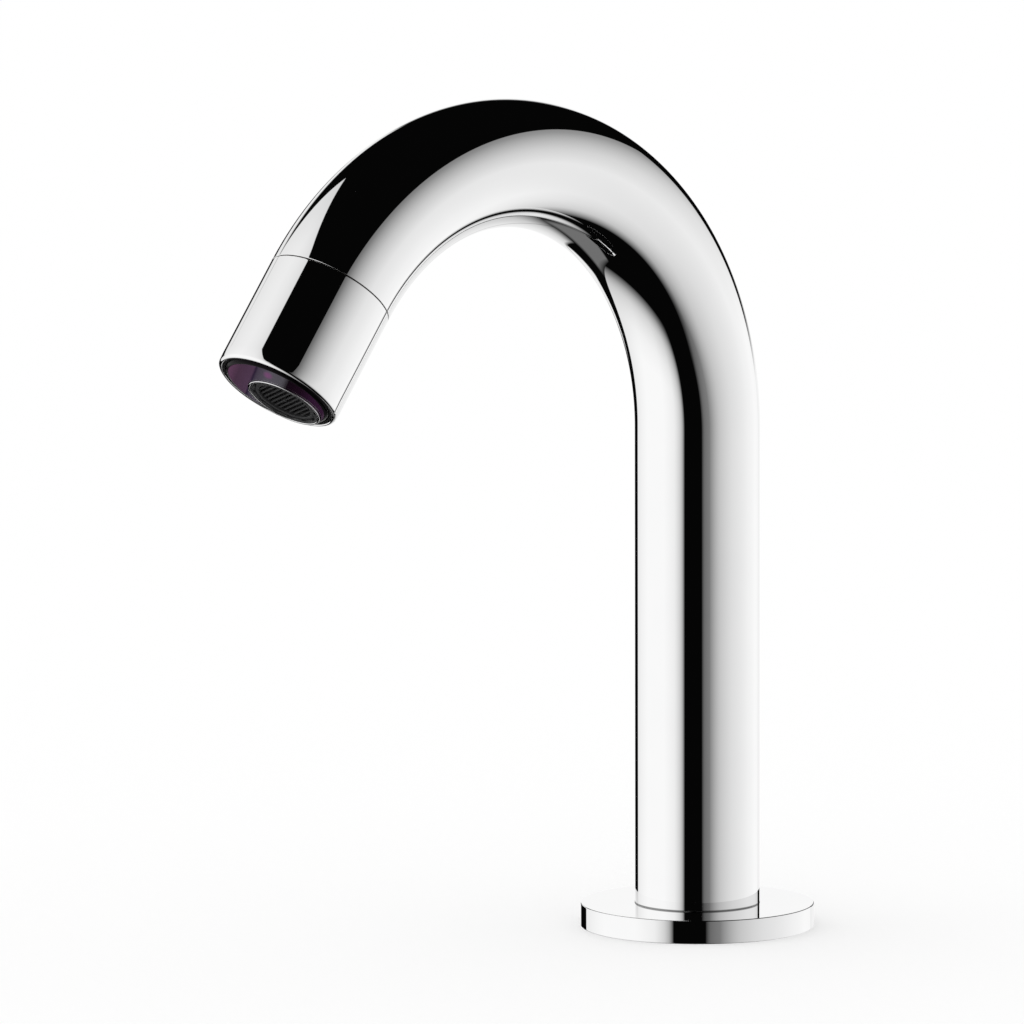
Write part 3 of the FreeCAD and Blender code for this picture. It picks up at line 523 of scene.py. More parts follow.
@dataclass(frozen=True)
class PlumWindow(Finish):
    """Infrared-clear plum window, with painted reflections and a painted highlight in its colour,
    and a ground black border.

    Attributes:
        centre: Middle of the window's face.
        rise: Direction in the face towards its wide, upper side.
        slant: Angle of the painted reflection's bands to the tap's X axis, in radians.
        painted_reflection_bands: Painted reflection, as tint against place across its bands, in
            metres.
        lens: Place of the painted highlight across and along the bands, in metres.
        highlight_size: Its half width and half length.
        highlight_tint: Its tint.
        highlight_full: Share of that size within which its tint is full. It fades over one size
            more.
        drift_share: How much the patches change the tint.
        border: Radius at which the black border starts.
        border_soft: Width over which it starts.
        border_tint: The border's colour.
        border_rough: The border's roughness.
    """

    centre: Point = (0.0, 0.0, 0.0)
    rise: Point = (0.0, -1.0, 0.0)
    slant: float = math.radians(41.0)
    # painted reflection: bands of tint that stand in for the room reflected in the window
    painted_reflection_bands: tuple[tuple[float, Rgb], ...] = (
        (-14.0 * MM, (0.24, 0.1, 0.2)),
        (-10.5 * MM, (0.11, 0.055, 0.1)),
        (-7.2 * MM, (0.13, 0.07, 0.13)),
        (-6.7 * MM, (0.035, 0.022, 0.055)),
        (-6.1 * MM, (0.1, 0.08, 0.12)),
        (-3.0 * MM, (0.17, 0.155, 0.19)),
        (0.4 * MM, (0.14, 0.135, 0.155)),
        (1.9 * MM, (0.006, 0.003, 0.005)),
        (5.5 * MM, (0.015, 0.005, 0.013)),
        (9.0 * MM, (0.045, 0.014, 0.045)),
        (12.2 * MM, (0.055, 0.02, 0.055)),
        (13.6 * MM, (0.18, 0.12, 0.18)),
    )
    # painted highlight: a bright plum spot on the window's face
    lens: tuple[float, float] = (-3.4 * MM, 9.7 * MM)
    highlight_size: tuple[float, float] = (0.9 * MM, 1.5 * MM)
    highlight_tint: Rgb = (0.3, 0.13, 0.28)
    highlight_full: float = 0.6
    drift_share: float = 0.25
    border: float = 12.85 * MM
    border_soft: float = 0.2 * MM
    border_tint: Rgb = (0.002, 0.002, 0.002)
    border_rough: float = 0.2

    def dress(
        self, board: Board, shader: bpy.types.Node, where: bpy.types.NodeSocket, drift: Value
    ) -> None:
        """Lays the painted reflections and the painted highlight into the tint, and blackens the
        border.

        Args:
            board: The material's tree.
            shader: Its Principled shader.
            where: Object coordinates.
            drift: Soft patches, 0 to 1.
        """
        offset = board.node(
            "ShaderNodeVectorMath", {"operation": "SUBTRACT"}, {0: where, 1: self.centre}
        )
        x = board.along(offset.outputs[0], (1.0, 0.0, 0.0))
        y = board.along(offset.outputs[0], self.rise)
        across = x * math.sin(self.slant) - y * math.cos(self.slant)
        along = x * math.cos(self.slant) + y * math.sin(self.slant)
        # painted reflection across the window's face
        seen = board.ramp(across, self.painted_reflection_bands)
        aside = (across - self.lens[0]) / self.highlight_size[0]
        ahead = (along - self.lens[1]) / self.highlight_size[1]
        # painted highlight, full in its middle and fading outwards
        painted_highlight = (1.0 + self.highlight_full - (aside * aside + ahead * ahead).root()).held()
        seen = board.mix(painted_highlight, seen, self.highlight_tint)
        seen = board.mix(drift * self.drift_share, seen, self.shade)
        radius = (x * x + y * y).root()
        edge = ((radius - self.border) / self.border_soft).held()
        board.feed(shader.inputs["Base Color"], board.mix(edge, seen, self.border_tint))
        smooth = self.dullness(drift)
        board.feed(shader.inputs["Roughness"], smooth + edge * (self.border_rough - smooth))


# ------------------------------------------------------------------------------- layout
@dataclass(frozen=True)
class Layout:
    """Driving sizes of the tap, in metres, and the places that follow from them."""

    tube_r: float = 16.0 * MM
    tube_wall: float = 1.5 * MM
    tube_seat: float = 3.0 * MM
    leg_top: float = 129.0 * MM
    bend_r: float = 71.0 * MM
    bend_turn: float = math.radians(143.0)
    head_long: float = 29.5 * MM
    seam_gap: float = 0.25 * MM
    outlet_shift: float = -3.6 * MM

    @property
    def bend_end(self) -> Vector:
        """Middle of the bend's open end."""
        return Vector(
            (
                0.0,
                self.bend_r * (math.cos(self.bend_turn) - 1.0),
                self.leg_top + self.bend_r * math.sin(self.bend_turn),
            )
        )

    @property
    def head(self) -> Matrix:
        """Turns a piece built about +Z into the head, with its back at the bend's end."""
        return Matrix.Translation(self.bend_end) @ Matrix.Rotation(self.bend_turn, 4, "X")

    @property
    def outlet(self) -> Matrix:
        """The same for pieces about the outlet, which sits low in the mouth."""
        return self.head @ Matrix.Translation((0.0, self.outlet_shift, 0.0))


# ------------------------------------------------------------------------------- mesh work
@dataclass(frozen=True)
class Corner:
    """One corner of a turned outline: radius, height and how far it is rounded."""

    r: float
    z: float
    soft: float = 0.0


def soften(
    corners: Sequence[Corner], closed: bool = True, steps: int = 6
) -> list[tuple[float, float]]:
    """Rounds the corners of an outline with true arcs.

    Args:
        corners: The outline's corners in order.
        closed: Whether the last corner joins the first.
        steps: Facets in each rounding.

    Returns:
        Radius and height of each point.
    """
    points: list[tuple[float, float]] = []
    count = len(corners)
    for i, corner in enumerate(corners):
        here = Vector((corner.r, corner.z))
        if corner.soft <= 0.0 or (not closed and i in (0, count - 1)):
            points.append((here.x, here.y))
            continue
        before = corners[i - 1]
        after = corners[(i + 1) % count]
        back = (Vector((before.r, before.z)) - here).normalized()
        ahead = (Vector((after.r, after.z)) - here).normalized()
        opening = back.angle(ahead)
        reach = corner.soft / math.tan(opening / 2.0)
        centre = here + (back + ahead).normalized() * (corner.soft / math.sin(opening / 2.0))
        first = here + back * reach - centre
        last = here + ahead * reach - centre
        swing = first.angle_signed(last)
        for step in range(steps + 1):
            spoke = first.copy()
            spoke.rotate(Matrix.Rotation(-swing * step / steps, 2))
            points.append((centre.x + spoke.x, centre.y + spoke.y))
    return points


def link(name: str, shape: bmesh.types.BMesh) -> bpy.types.Object:
    """Makes an object of a mesh and links it to the scene.

    Args:
        name: The piece's name.
        shape: The finished mesh, which is freed.

    Returns:
        The new object.
    """
    mesh = bpy.data.meshes.new(name)
    shape.to_mesh(mesh)
    shape.free()
    piece = bpy.data.objects.new(name, mesh)
    bpy.context.scene.collection.objects.link(piece)
    return piece


def as_object(name: str, shape: bmesh.types.BMesh) -> bpy.types.Object:
    """Merges doubles, points the faces outwards and links the mesh.

    Args:
        name: The piece's name.
        shape: The finished mesh, which is freed.

    Returns:
        The new object.
    """
    bmesh.ops.remove_doubles(shape, verts=shape.verts, dist=SAME_POINT)
    bmesh.ops.recalc_face_normals(shape, faces=shape.faces)
    return link(name, shape)


def lathe(
    name: str,
    outline: Sequence[tuple[float, float]],
    place: Matrix,
    closed: bool = True,
    segments: int = 192,
) -> bpy.types.Object:
    """Turns an outline about +Z and sets it in place.

    Args:
        name: The piece's name.
        outline: Radius and height of each point.
        place: Where the turning axis goes.
        closed: Whether the last point joins the first.
        segments: Facets round the axis.

    Returns:
        The new object.
    """
    shape = bmesh.new()
    angles = [math.tau * k / segments for k in range(segments)]
    rings = []
    for r, z in outline:
        if r < ON_AXIS:
            rings.append([shape.verts.new((0.0, 0.0, z))] * segments)
        else:
            rings.append(
                [shape.verts.new((r * math.cos(a), r * math.sin(a), z)) for a in angles]
            )
    pairs = list(zip(rings, rings[1:]))
    if closed:
        pairs.append((rings[-1], rings[0]))
    for low, high in pairs:
        for k in range(segments):
            n = (k + 1) % segments
            loop = list(dict.fromkeys((low[k], low[n], high[n], high[k])))
            if len(loop) > 2:
                shape.faces.new(loop)
    bmesh.ops.transform(shape, matrix=place, verts=shape.verts)
    return as_object(name, shape)


def bake(piece: bpy.types.Object) -> None:
    """Turns a piece and its live modifiers into a plain mesh.

    Args:
        piece: The object, whose modifiers are used up.
    """
    graph = bpy.context.evaluated_depsgraph_get()
    made = bpy.data.meshes.new_from_object(
        piece.evaluated_get(graph), preserve_all_data_layers=True, depsgraph=graph
    )
    piece.modifiers.clear()
    piece.data = made


def polish(piece: bpy.types.Object, crease: float = 32.0) -> bpy.types.Object:
    """Shades a piece smoothly, so that flats stay flat and only roundings bend the light.

    Args:
        piece: The object.
        crease: Angle in degrees above which an edge stays crisp.

    Returns:
        The same object.
    """
    piece.data.shade_smooth()
    piece.data.set_sharp_from_angle(angle=math.radians(crease))
    evening = piece.modifiers.new("EvenShading", "WEIGHTED_NORMAL")
    evening.keep_sharp = True
    bake(piece)
    return piece


def ease(piece: bpy.types.Object, width: float, segments: int = 2) -> bpy.types.Object:
    """Rounds every edge of a piece a little.

    Args:
        piece: The object.
        width: Width of the rounding.
        segments: Facets across it.

    Returns:
        The same object.
    """
    soft = piece.modifiers.new("Soft", "BEVEL")
    soft.width = width
    soft.segments = segments
    bake(piece)
    return piece


def carve(piece: bpy.types.Object, cutter: bpy.types.Object) -> None:
    """Cuts one object out of another and removes the cutter.

    Args:
        piece: What is cut.
        cutter: The shape of the hole.
    """
    cut = piece.modifiers.new("Cut", "BOOLEAN")
    cut.operation = "DIFFERENCE"
    cut.solver = "EXACT"
    cut.object = cutter
    bake(piece)
    bpy.data.objects.remove(cutter)


def weld(name: str, parts: Sequence[bpy.types.Object]) -> bpy.types.Object:
    """Puts several meshes into one piece.

    Args:
        name: The piece's name.
        parts: Plain mesh objects, which are used up.

    Returns:
        The new object.
    """
    shape = bmesh.new()
    for part in parts:
        shape.from_mesh(part.data)
        bpy.data.objects.remove(part)
    return link(name, shape)


class Recipe:
    """A Geometry Nodes tree under construction, with named inputs for its sizes."""

    def __init__(self, name: str) -> None:
        """Starts an empty tree.

        Args:
            name: The tree's name.
        """
        self.tree = bpy.data.node_groups.new(name, "GeometryNodeTree")
        self.tree.is_modifier = True
        self.board = Board(self.tree)
        self.entry = self.tree.nodes.new("NodeGroupInput")
        self.given: dict[str, Any] = {}

    def size(self, name: str, value: Any, kind: str = "NodeSocketFloat") -> Value:
        """Adds a named input.

        Args:
            name: The input's name.
            value: What this piece sets it to.
            kind: The socket's type.

        Returns:
            The input's value inside the tree.
        """
        socket = self.tree.interface.new_socket(name=name, in_out="INPUT", socket_type=kind)
        self.given[socket.identifier] = value
        return Value(self.board, self.entry.outputs[name])

    def node(
        self, kind: str, settings: Mapping[str, Any] | None = None, **sockets: Any
    ) -> bpy.types.Node:
        """Adds a node whose inputs are given by name, with underscores for spaces."""
        named = {key.replace("_", " "): value for key, value in sockets.items()}
        return self.board.node(kind, settings, named)

    def index(self) -> Value:
        """Number of each point or instance, from 0."""
        return Value(self.board, self.node("GeometryNodeInputIndex").outputs[0])

    def stand(
        self, geometry: bpy.types.NodeSocket, level: Any, turn: Any = 0.0
    ) -> bpy.types.NodeSocket:
        """Lifts geometry and turns it about +Z.

        Args:
            geometry: What is moved.
            level: How far it is lifted.
            turn: How far it is turned, in radians.

        Returns:
            The moved geometry.
        """
        lift = self.node("ShaderNodeCombineXYZ", Z=level)
        swing = self.node("ShaderNodeCombineXYZ", Z=turn)
        moved = self.node(
            "GeometryNodeTransform",
            Geometry=geometry,
            Translation=lift.outputs[0],
            Rotation=swing.outputs[0],
        )
        return moved.outputs[0]

    def make(
        self, name: str, geometry: bpy.types.NodeSocket, place: Matrix | None = None
    ) -> bpy.types.Object:
        """Ends the tree and turns its result into a plain mesh object.

        Args:
            name: The piece's name.
            geometry: What the tree has made.
            place: Where it goes, or None to leave it.

        Returns:
            The new object, its tree used up.
        """
        surface = self.size("Surface", Workshop.blank(), "NodeSocketMaterial")
        self.tree.interface.new_socket(
            name="Geometry", in_out="OUTPUT", socket_type="NodeSocketGeometry"
        )
        real = self.board.node("GeometryNodeRealizeInstances", {}, {0: geometry})
        dressed = self.node("GeometryNodeSetMaterial", Geometry=real.outputs[0], Material=surface)
        self.board.feed(self.tree.nodes.new("NodeGroupOutput").inputs[0], dressed.outputs[0])
        piece = bpy.data.objects.new(name, bpy.data.meshes.new(name))
        grow = piece.modifiers.new("Grow", "NODES")
        grow.node_group = self.tree
        for identifier, value in self.given.items():
            grow[identifier] = value
        bpy.context.scene.collection.objects.link(piece)
        bake(piece)
        if place is not None:
            piece.data.transform(place)
        return piece


class Workshop:
    """Keeps the finishes and hands finished pieces to the frame."""

    def __init__(self, finishes: Sequence[Finish]) -> None:
        """Builds every finish once.

        Args:
            finishes: The finishes. The first of each slot is that slot's usual one.
        """
        self.materials: dict[str, bpy.types.Material] = {}
        for finish in finishes:
            made = finish.build()
            self.materials[finish.name] = made
            self.materials.setdefault(finish.slot, made)

    @staticmethod
    def blank() -> bpy.types.Material:
        """The plain material that a tree carries until its piece is dressed."""
        return bpy.data.materials.get("blank") or bpy.data.materials.new("blank")

    def fit(self, piece: bpy.types.Object, slot: str, body: str, *nodes: str) -> None:
        """Dresses a piece, lets it ride and hides the nodes it stands for.

        Args:
            piece: The finished object.
            slot: The record's slot that it takes its finish from.
            body: The body that it rides on.
            nodes: The nodes that it replaces.
        """
        piece.data.materials.clear()
        piece.data.materials.append(self.materials[slot])
        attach(piece, body)
        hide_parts(*nodes)
        log.info("%s: %d faces, rides on %s", piece.name, len(piece.data.polygons), body)

    def redress(self, finish: str, *nodes: str) -> None:
        """Gives carried-over nodes their material.

        Args:
            finish: A slot, for its usual finish, or the name of one finish.
            nodes: The nodes.
        """
        for node in nodes:
            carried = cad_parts[node]
            carried.data.materials.clear()
            carried.data.materials.append(self.materials[finish])
            log.info("%s: kept, dressed in %s", node, finish)


# ------------------------------------------------------------------------------- the tap's pieces
@dataclass
class Spout:
    """The bent tube, the flange it stands in and the plug in its foot."""

    layout: Layout
    shop: Workshop
    flange_r: float = 30.0 * MM
    flange_thick: float = 6.0 * MM
    flange_edge: float = 0.25 * MM
    recess_r: float = 26.85 * MM
    recess_deep: float = 1.2 * MM
    ledge_r: float = 13.0 * MM
    seat_gap: float = 0.05 * MM
    seat_edge: float = 0.12 * MM
    end_edge: float = 0.12 * MM
    steps: int = 150
    edge_steps: int = 5
    sides: int = 160
    flange_sides: int = 256
    merge_gap: float = 0.001 * MM

    def build(self) -> None:
        """Makes and fits every piece of the sub-assembly."""
        self.shop.fit(self.tube(), "polished_chrome", BODY_TAP, "spout_tube")
        self.shop.fit(self.flange(), "polished_chrome", BODY_TAP, "base_flange")
        self.shop.redress("black_rubber", "flange_o_ring", "deck_gasket", "inlet_o_ring")
        self.shop.redress("black_rubber", "cable_gland")
        self.shop.redress("plain_brass", "base_insert", "hose_nipple")
        self.shop.redress("hose_polymer", "water_hose")
        self.shop.redress("plain_steel", "lower_ferrule", "upper_ferrule")
        self.shop.redress("cable_jacket", "sensor_cable")

    def tube(self) -> bpy.types.Object:
        """Grows the tube from one grid.

        The grid's rows run out along the wall, over the rim and back inside. Half a row is added
        wherever whole numbers are compared.

        Returns:
            The tube with both its walls.
        """
        lay = self.layout
        recipe = Recipe("SweptTube")
        radius = recipe.size("Radius", lay.tube_r)
        wall = recipe.size("Wall", lay.tube_wall)
        seat = recipe.size("Seat", lay.tube_seat)
        leg_top = recipe.size("Leg Top", lay.leg_top)
        bend = recipe.size("Bend Radius", lay.bend_r)
        turn = recipe.size("Bend Turn", lay.bend_turn)
        edge = recipe.size("Edge", self.end_edge)
        rows = self.steps + self.edge_steps + self.steps + 1
        grid = recipe.node("GeometryNodeMeshGrid", Vertices_X=rows, Vertices_Y=self.sides + 1)
        index = recipe.index() + 0.5
        row = (index / (self.sides + 1)).floor()
        spoke = (index - row * (self.sides + 1)).floor() * (math.tau / self.sides)
        out_last = self.steps - 1
        rim_last = out_last + self.edge_steps
        back_last = rim_last + self.steps
        out = (row / out_last).least(1.0)
        rim = ((row - out_last) / self.edge_steps).held() * (math.pi / 2.0)
        back = ((row - rim_last - 1.0) / (self.steps - 1)).held()
        inside = row > (rim_last + 0.5)
        home = row > (back_last + 0.5)
        leg = leg_top - seat
        long = leg + bend * turn
        along = out * (long - edge) + edge * rim.sine() - back * long
        ring = radius - edge * (1.0 - rim.cosine()) - inside * (wall - edge) + home * wall
        swing = (along - leg).most(0.0) / bend
        reach = ring * spoke.sine()
        x = ring * spoke.cosine()
        y = bend * (swing.cosine() - 1.0) + reach * swing.cosine()
        z = seat + along.least(leg) + bend * swing.sine() + reach * swing.sine()
        point = recipe.node("ShaderNodeCombineXYZ", X=x, Y=y, Z=z)
        moved = recipe.node(
            "GeometryNodeSetPosition", Geometry=grid.outputs["Mesh"], Position=point.outputs[0]
        )
        merged = recipe.node(
            "GeometryNodeMergeByDistance", Geometry=moved.outputs[0], Distance=self.merge_gap
        )
        tube = recipe.make("tap_spout_tube", merged.outputs[0])
        shape = bmesh.new()
        shape.from_mesh(tube.data)
        bpy.data.objects.remove(tube)
        return polish(as_object("tap_spout_tube", shape))

    def flange(self) -> bpy.types.Object:
        """Turns the flange, with its recess for the gasket and the seat for the tube.

        Returns:
            The flange.
        """
        lay = self.layout
        bore = lay.tube_r + self.seat_gap
        corners = [
            Corner(self.ledge_r, self.recess_deep),
            Corner(self.recess_r, self.recess_deep),
            Corner(self.recess_r, 0.0, self.seat_edge),
            Corner(self.flange_r, 0.0, self.flange_edge),
            Corner(self.flange_r, self.flange_thick, self.flange_edge),
            Corner(bore, self.flange_thick, self.seat_edge),
            Corner(bore, lay.tube_seat),
            Corner(self.ledge_r, lay.tube_seat),
        ]
        upright = Matrix.Identity(4)
        outline = soften(corners)
        return polish(lathe("tap_base_flange", outline, upright, segments=self.flange_sides))


@dataclass
class Head:
    """The straight sleeve in front of the seam, its coupling and the screw beneath.

    The sleeve's outline rolls in towards the lip: by roll_deep, shared between the square and the
    cube of the way, and by roll_end times as much at the lip's own corner, before it is rounded.
    """

    layout: Layout
    shop: Workshop
    wall: float = 1.2 * MM
    lip_edge: float = 0.8 * MM
    bore_edge: float = 0.3 * MM
    seam_edge: float = 0.12 * MM
    roll_long: float = 3.3 * MM
    roll_deep: float = 0.105 * MM
    roll_shares: tuple[float, float] = (0.7, 0.3)
    roll_end: float = 1.8
    roll_steps: int = 16
    lip_steps: int = 14
    sides: int = 320
    screw_up: float = 3.2 * MM
    screw_way: float = 1.55 * MM
    screw_zone: float = 2.6 * MM
    screw_sides: int = 48

    def build(self) -> None:
        """Makes and fits every piece of the sub-assembly."""
        self.shop.fit(self.sleeve(), "polished_chrome", BODY_TAP, "head_sleeve")
        # painted shade: the coupling is made near black so that the seam looks shaded
        self.shop.redress("seam_shade_brass", "neck_coupling")
        self.shop.redress("black_rubber", "neck_o_ring")
        self.shop.redress("plain_steel", "head_screw")

    def roll(self) -> list[Corner]:
        """Outline of the sleeve's end, which the polishing wheel has drawn in a little.

        Returns:
            Its corners up to the lip, nearer the axis by the square and the cube of the way.
        """
        square, cube = self.roll_shares
        start = self.layout.head_long - self.roll_long
        corners = []
        for step in range(self.roll_steps):
            share = step / self.roll_steps
            drawn_in = self.roll_deep * (square * share**2 + cube * share**3)
            up = start + (self.roll_long - self.lip_edge) * share
            corners.append(Corner(self.layout.tube_r - drawn_in, up))
        return corners

    def sleeve(self) -> bpy.types.Object:
        """Turns the sleeve and drills the hole for the grub screw in its underside.

        Returns:
            The sleeve.
        """
        lay = self.layout
        outer = lay.tube_r
        inner = outer - self.wall
        below = self.screw_up - self.screw_zone
        above = self.screw_up + self.screw_zone
        corners = [
            Corner(inner, lay.seam_gap),
            Corner(outer, lay.seam_gap, self.seam_edge),
            Corner(outer, below),
            Corner(outer, above),
            *self.roll(),
            Corner(outer - self.roll_deep * self.roll_end, lay.head_long, self.lip_edge),
            Corner(inner, lay.head_long, self.bore_edge),
            Corner(inner, above),
            Corner(inner, below),
        ]
        outline = soften(corners, steps=self.lip_steps)
        sleeve = lathe("tap_head_sleeve", outline, lay.head, segments=self.sides)
        lift = Matrix.Translation((0.0, 0.0, self.screw_up))
        downwards = Matrix.Rotation(math.pi / 2, 4, "X")
        long = outer * 2.0
        drill = lathe(
            "drill",
            [(0.0, 0.0), (self.screw_way, 0.0), (self.screw_way, long), (0.0, long)],
            lay.head @ lift @ downwards,
            closed=False,
            segments=self.screw_sides,
        )
        carve(sleeve, drill)
        return polish(sleeve)


@dataclass
class SensorFace:
    """What fills the mouth round the outlet: seal, plum window and the sensor behind them."""

    layout: Layout
    shop: Workshop
    seal_r: float = 14.75 * MM
    window_r: float = 14.0 * MM
    seal_sunk: float = 0.3 * MM
    proud: float = 0.25 * MM
    crown: float = 0.6 * MM
    tall: float = 5.5 * MM
    thick: float = 2.6 * MM
    skirt: float = 1.0 * MM
    rim_round: float = 1.2 * MM
    hole_r: float = 9.8 * MM
    edge: float = 0.18 * MM
    seal_gap: float = 0.05 * MM
    seal_edge: float = 0.25 * MM
    seal_bore_edge: float = 0.12 * MM
    least_wall: float = 0.02 * MM
    edge_steps: int = 4
    face_steps: int = 36
    segments: int = 256

    def build(self) -> None:
        """Makes and fits every piece of the sub-assembly."""
        self.shop.fit(self.seal(), "black_rubber", BODY_TAP, "window_seal")
        self.shop.fit(self.window(), "window_tint", BODY_TAP, "sensor_window")
        self.shop.redress("black_polymer", "sensor_carrier", "light_baffle")
        self.shop.redress("circuit_board", "sensor_board")
        self.shop.redress("diode_resin", "ir_emitter", "ir_receiver")

    @property
    def rim_z(self) -> float:
        """Height of the window's rim on the head's axis."""
        return self.layout.head_long + self.proud

    def seal(self) -> bpy.types.Object:
        """Turns the black ring between the lip and the window.

        Returns:
            The seal.
        """
        low = self.rim_z - self.tall
        high = self.layout.head_long - self.seal_sunk
        inner = self.window_r + self.seal_gap
        corners = [
            Corner(inner, low),
            Corner(self.seal_r, low),
            Corner(self.seal_r, high, self.seal_edge),
            Corner(inner, high, self.seal_bore_edge),
        ]
        return polish(lathe("tap_window_seal", soften(corners), self.layout.head))

    @property
    def ball(self) -> float:
        """Radius of the sphere that the crowned face is a cap of."""
        return (self.window_r**2 + self.crown**2) / (2.0 * self.crown)

    @property
    def rim_hub(self) -> tuple[float, float]:
        """Middle of the rim's rounding.

        Returns:
            Its radius and height.
        """
        r = self.window_r - self.rim_round
        up = math.sqrt((self.ball - self.rim_round) ** 2 - r**2)
        return r, self.rim_z + self.crown - self.ball + up

    def dome(self, r: float) -> float:
        """Height of the crowned face, with its rounded rim, at a radius from the head's axis.

        Args:
            r: The radius.

        Returns:
            The height on the head's axis.
        """
        ball = self.ball
        hub_r, hub_z = self.rim_hub
        if r > hub_r * ball / (ball - self.rim_round):
            return hub_z + math.sqrt(max(self.rim_round**2 - (r - hub_r) ** 2, 0.0))
        return self.rim_z + self.crown - ball + math.sqrt(ball**2 - r**2)

    def window(self) -> bpy.types.Object:
        """Spans the crowned face between the outlet's hole and the rim, and closes it behind.

        Returns:
            The window, with its skirt.
        """
        shape = bmesh.new()
        strips = []
        for k in range(self.segments):
            angle = math.tau * k / self.segments
            way = Vector((math.cos(angle), math.sin(angle)))
            strips.append([shape.verts.new(point) for point in self._strip(way)])
        for k in range(self.segments):
            here = strips[k]
            there = strips[(k + 1) % self.segments]
            for i in range(len(here)):
                n = (i + 1) % len(here)
                shape.faces.new((here[i], there[i], there[n], here[n]))
        bmesh.ops.transform(shape, matrix=self.layout.head, verts=shape.verts)
        return polish(as_object("tap_sensor_window", shape))

    def _strip(self, way: Vector) -> list[Point]:
        """Section of the window along one direction from the outlet.

        Args:
            way: The direction, in the face's plane.

        Returns:
            The section's points, a closed loop.
        """
        shift = self.layout.outlet_shift
        far = -way.y * shift + math.sqrt(self.window_r**2 - (way.x * shift) ** 2)
        start = self.hole_r + self.edge
        points = []
        for i in range(self.edge_steps + 1):
            a = math.pi / 2 * i / self.edge_steps
            x, y, top = self._on_face(way, self.hole_r + self.edge * (1 - math.cos(a)))
            points.append((x, y, top - self.edge * (1 - math.sin(a))))
        for i in range(1, self.face_steps + 1):
            share = 1.0 - (1.0 - i / self.face_steps) ** 2
            points.append(self._on_face(way, start + (far - start) * share))
        inner = max(far - self.skirt, self.hole_r + self.least_wall)
        back = self.rim_z - self.thick
        foot = self.rim_z - self.tall
        for distance, z in ((far, foot), (inner, foot), (inner, back), (self.hole_r, back)):
            points.append((way.x * distance, way.y * distance + shift, z))
        return points

    def _on_face(self, way: Vector, distance: float) -> Point:
        """Point of the crowned face.

        Args:
            way: Direction from the outlet, in the face's plane.
            distance: How far from the outlet's axis.

        Returns:
            The point, on the head's axes.
        """
        x = way.x * distance
        y = way.y * distance + self.layout.outlet_shift
        return (x, y, self.dome(min(math.hypot(x, y), self.window_r)))


@dataclass
class Outlet:
    """The turned nozzle whose bright collar stands in the window."""

    layout: Layout
    shop: Workshop
    collar_r: float = 9.7 * MM
    collar_wall: float = 0.55 * MM
    collar_end: float = 30.5 * MM
    collar_long: float = 13.5 * MM
    web: float = 2.0 * MM
    stem_r: float = 5.2 * MM
    stem_bore: float = 2.6 * MM
    stem_from: float = 9.0 * MM
    barb_r: float = 3.05 * MM
    barb_drop: float = 0.55 * MM
    barb_step: float = 3.0 * MM
    barbs: int = 3
    bore: float = 2.2 * MM
    cone: float = 2.0 * MM
    rim_edge: float = 0.16 * MM

    def build(self) -> None:
        """Makes and fits the nozzle."""
        self.shop.fit(self.nozzle(), "polished_chrome", BODY_TAP, "outlet_nozzle")

    def nozzle(self) -> bpy.types.Object:
        """Turns collar, web, stem and hose barbs in one outline.

        Returns:
            The nozzle.
        """
        low = self.collar_end - self.collar_long
        inner = self.collar_r - self.collar_wall
        start = self.stem_from - self.barb_step * self.barbs
        corners = [Corner(self.bore, start)]
        for i in range(self.barbs):
            corners.append(Corner(self.barb_r - self.barb_drop, start + self.barb_step * i))
            corners.append(Corner(self.barb_r, start + self.barb_step * (i + 1)))
        corners += [
            Corner(self.stem_r, self.stem_from),
            Corner(self.stem_r, low),
            Corner(self.collar_r, low),
            Corner(self.collar_r, self.collar_end, self.rim_edge),
            Corner(inner, self.collar_end, self.rim_edge),
            Corner(inner, low + self.web),
            Corner(self.stem_bore, low + self.web),
            Corner(self.stem_bore, low),
            Corner(self.bore, low - self.cone),
        ]
        return polish(lathe("tap_outlet_nozzle", soften(corners), self.layout.outlet))


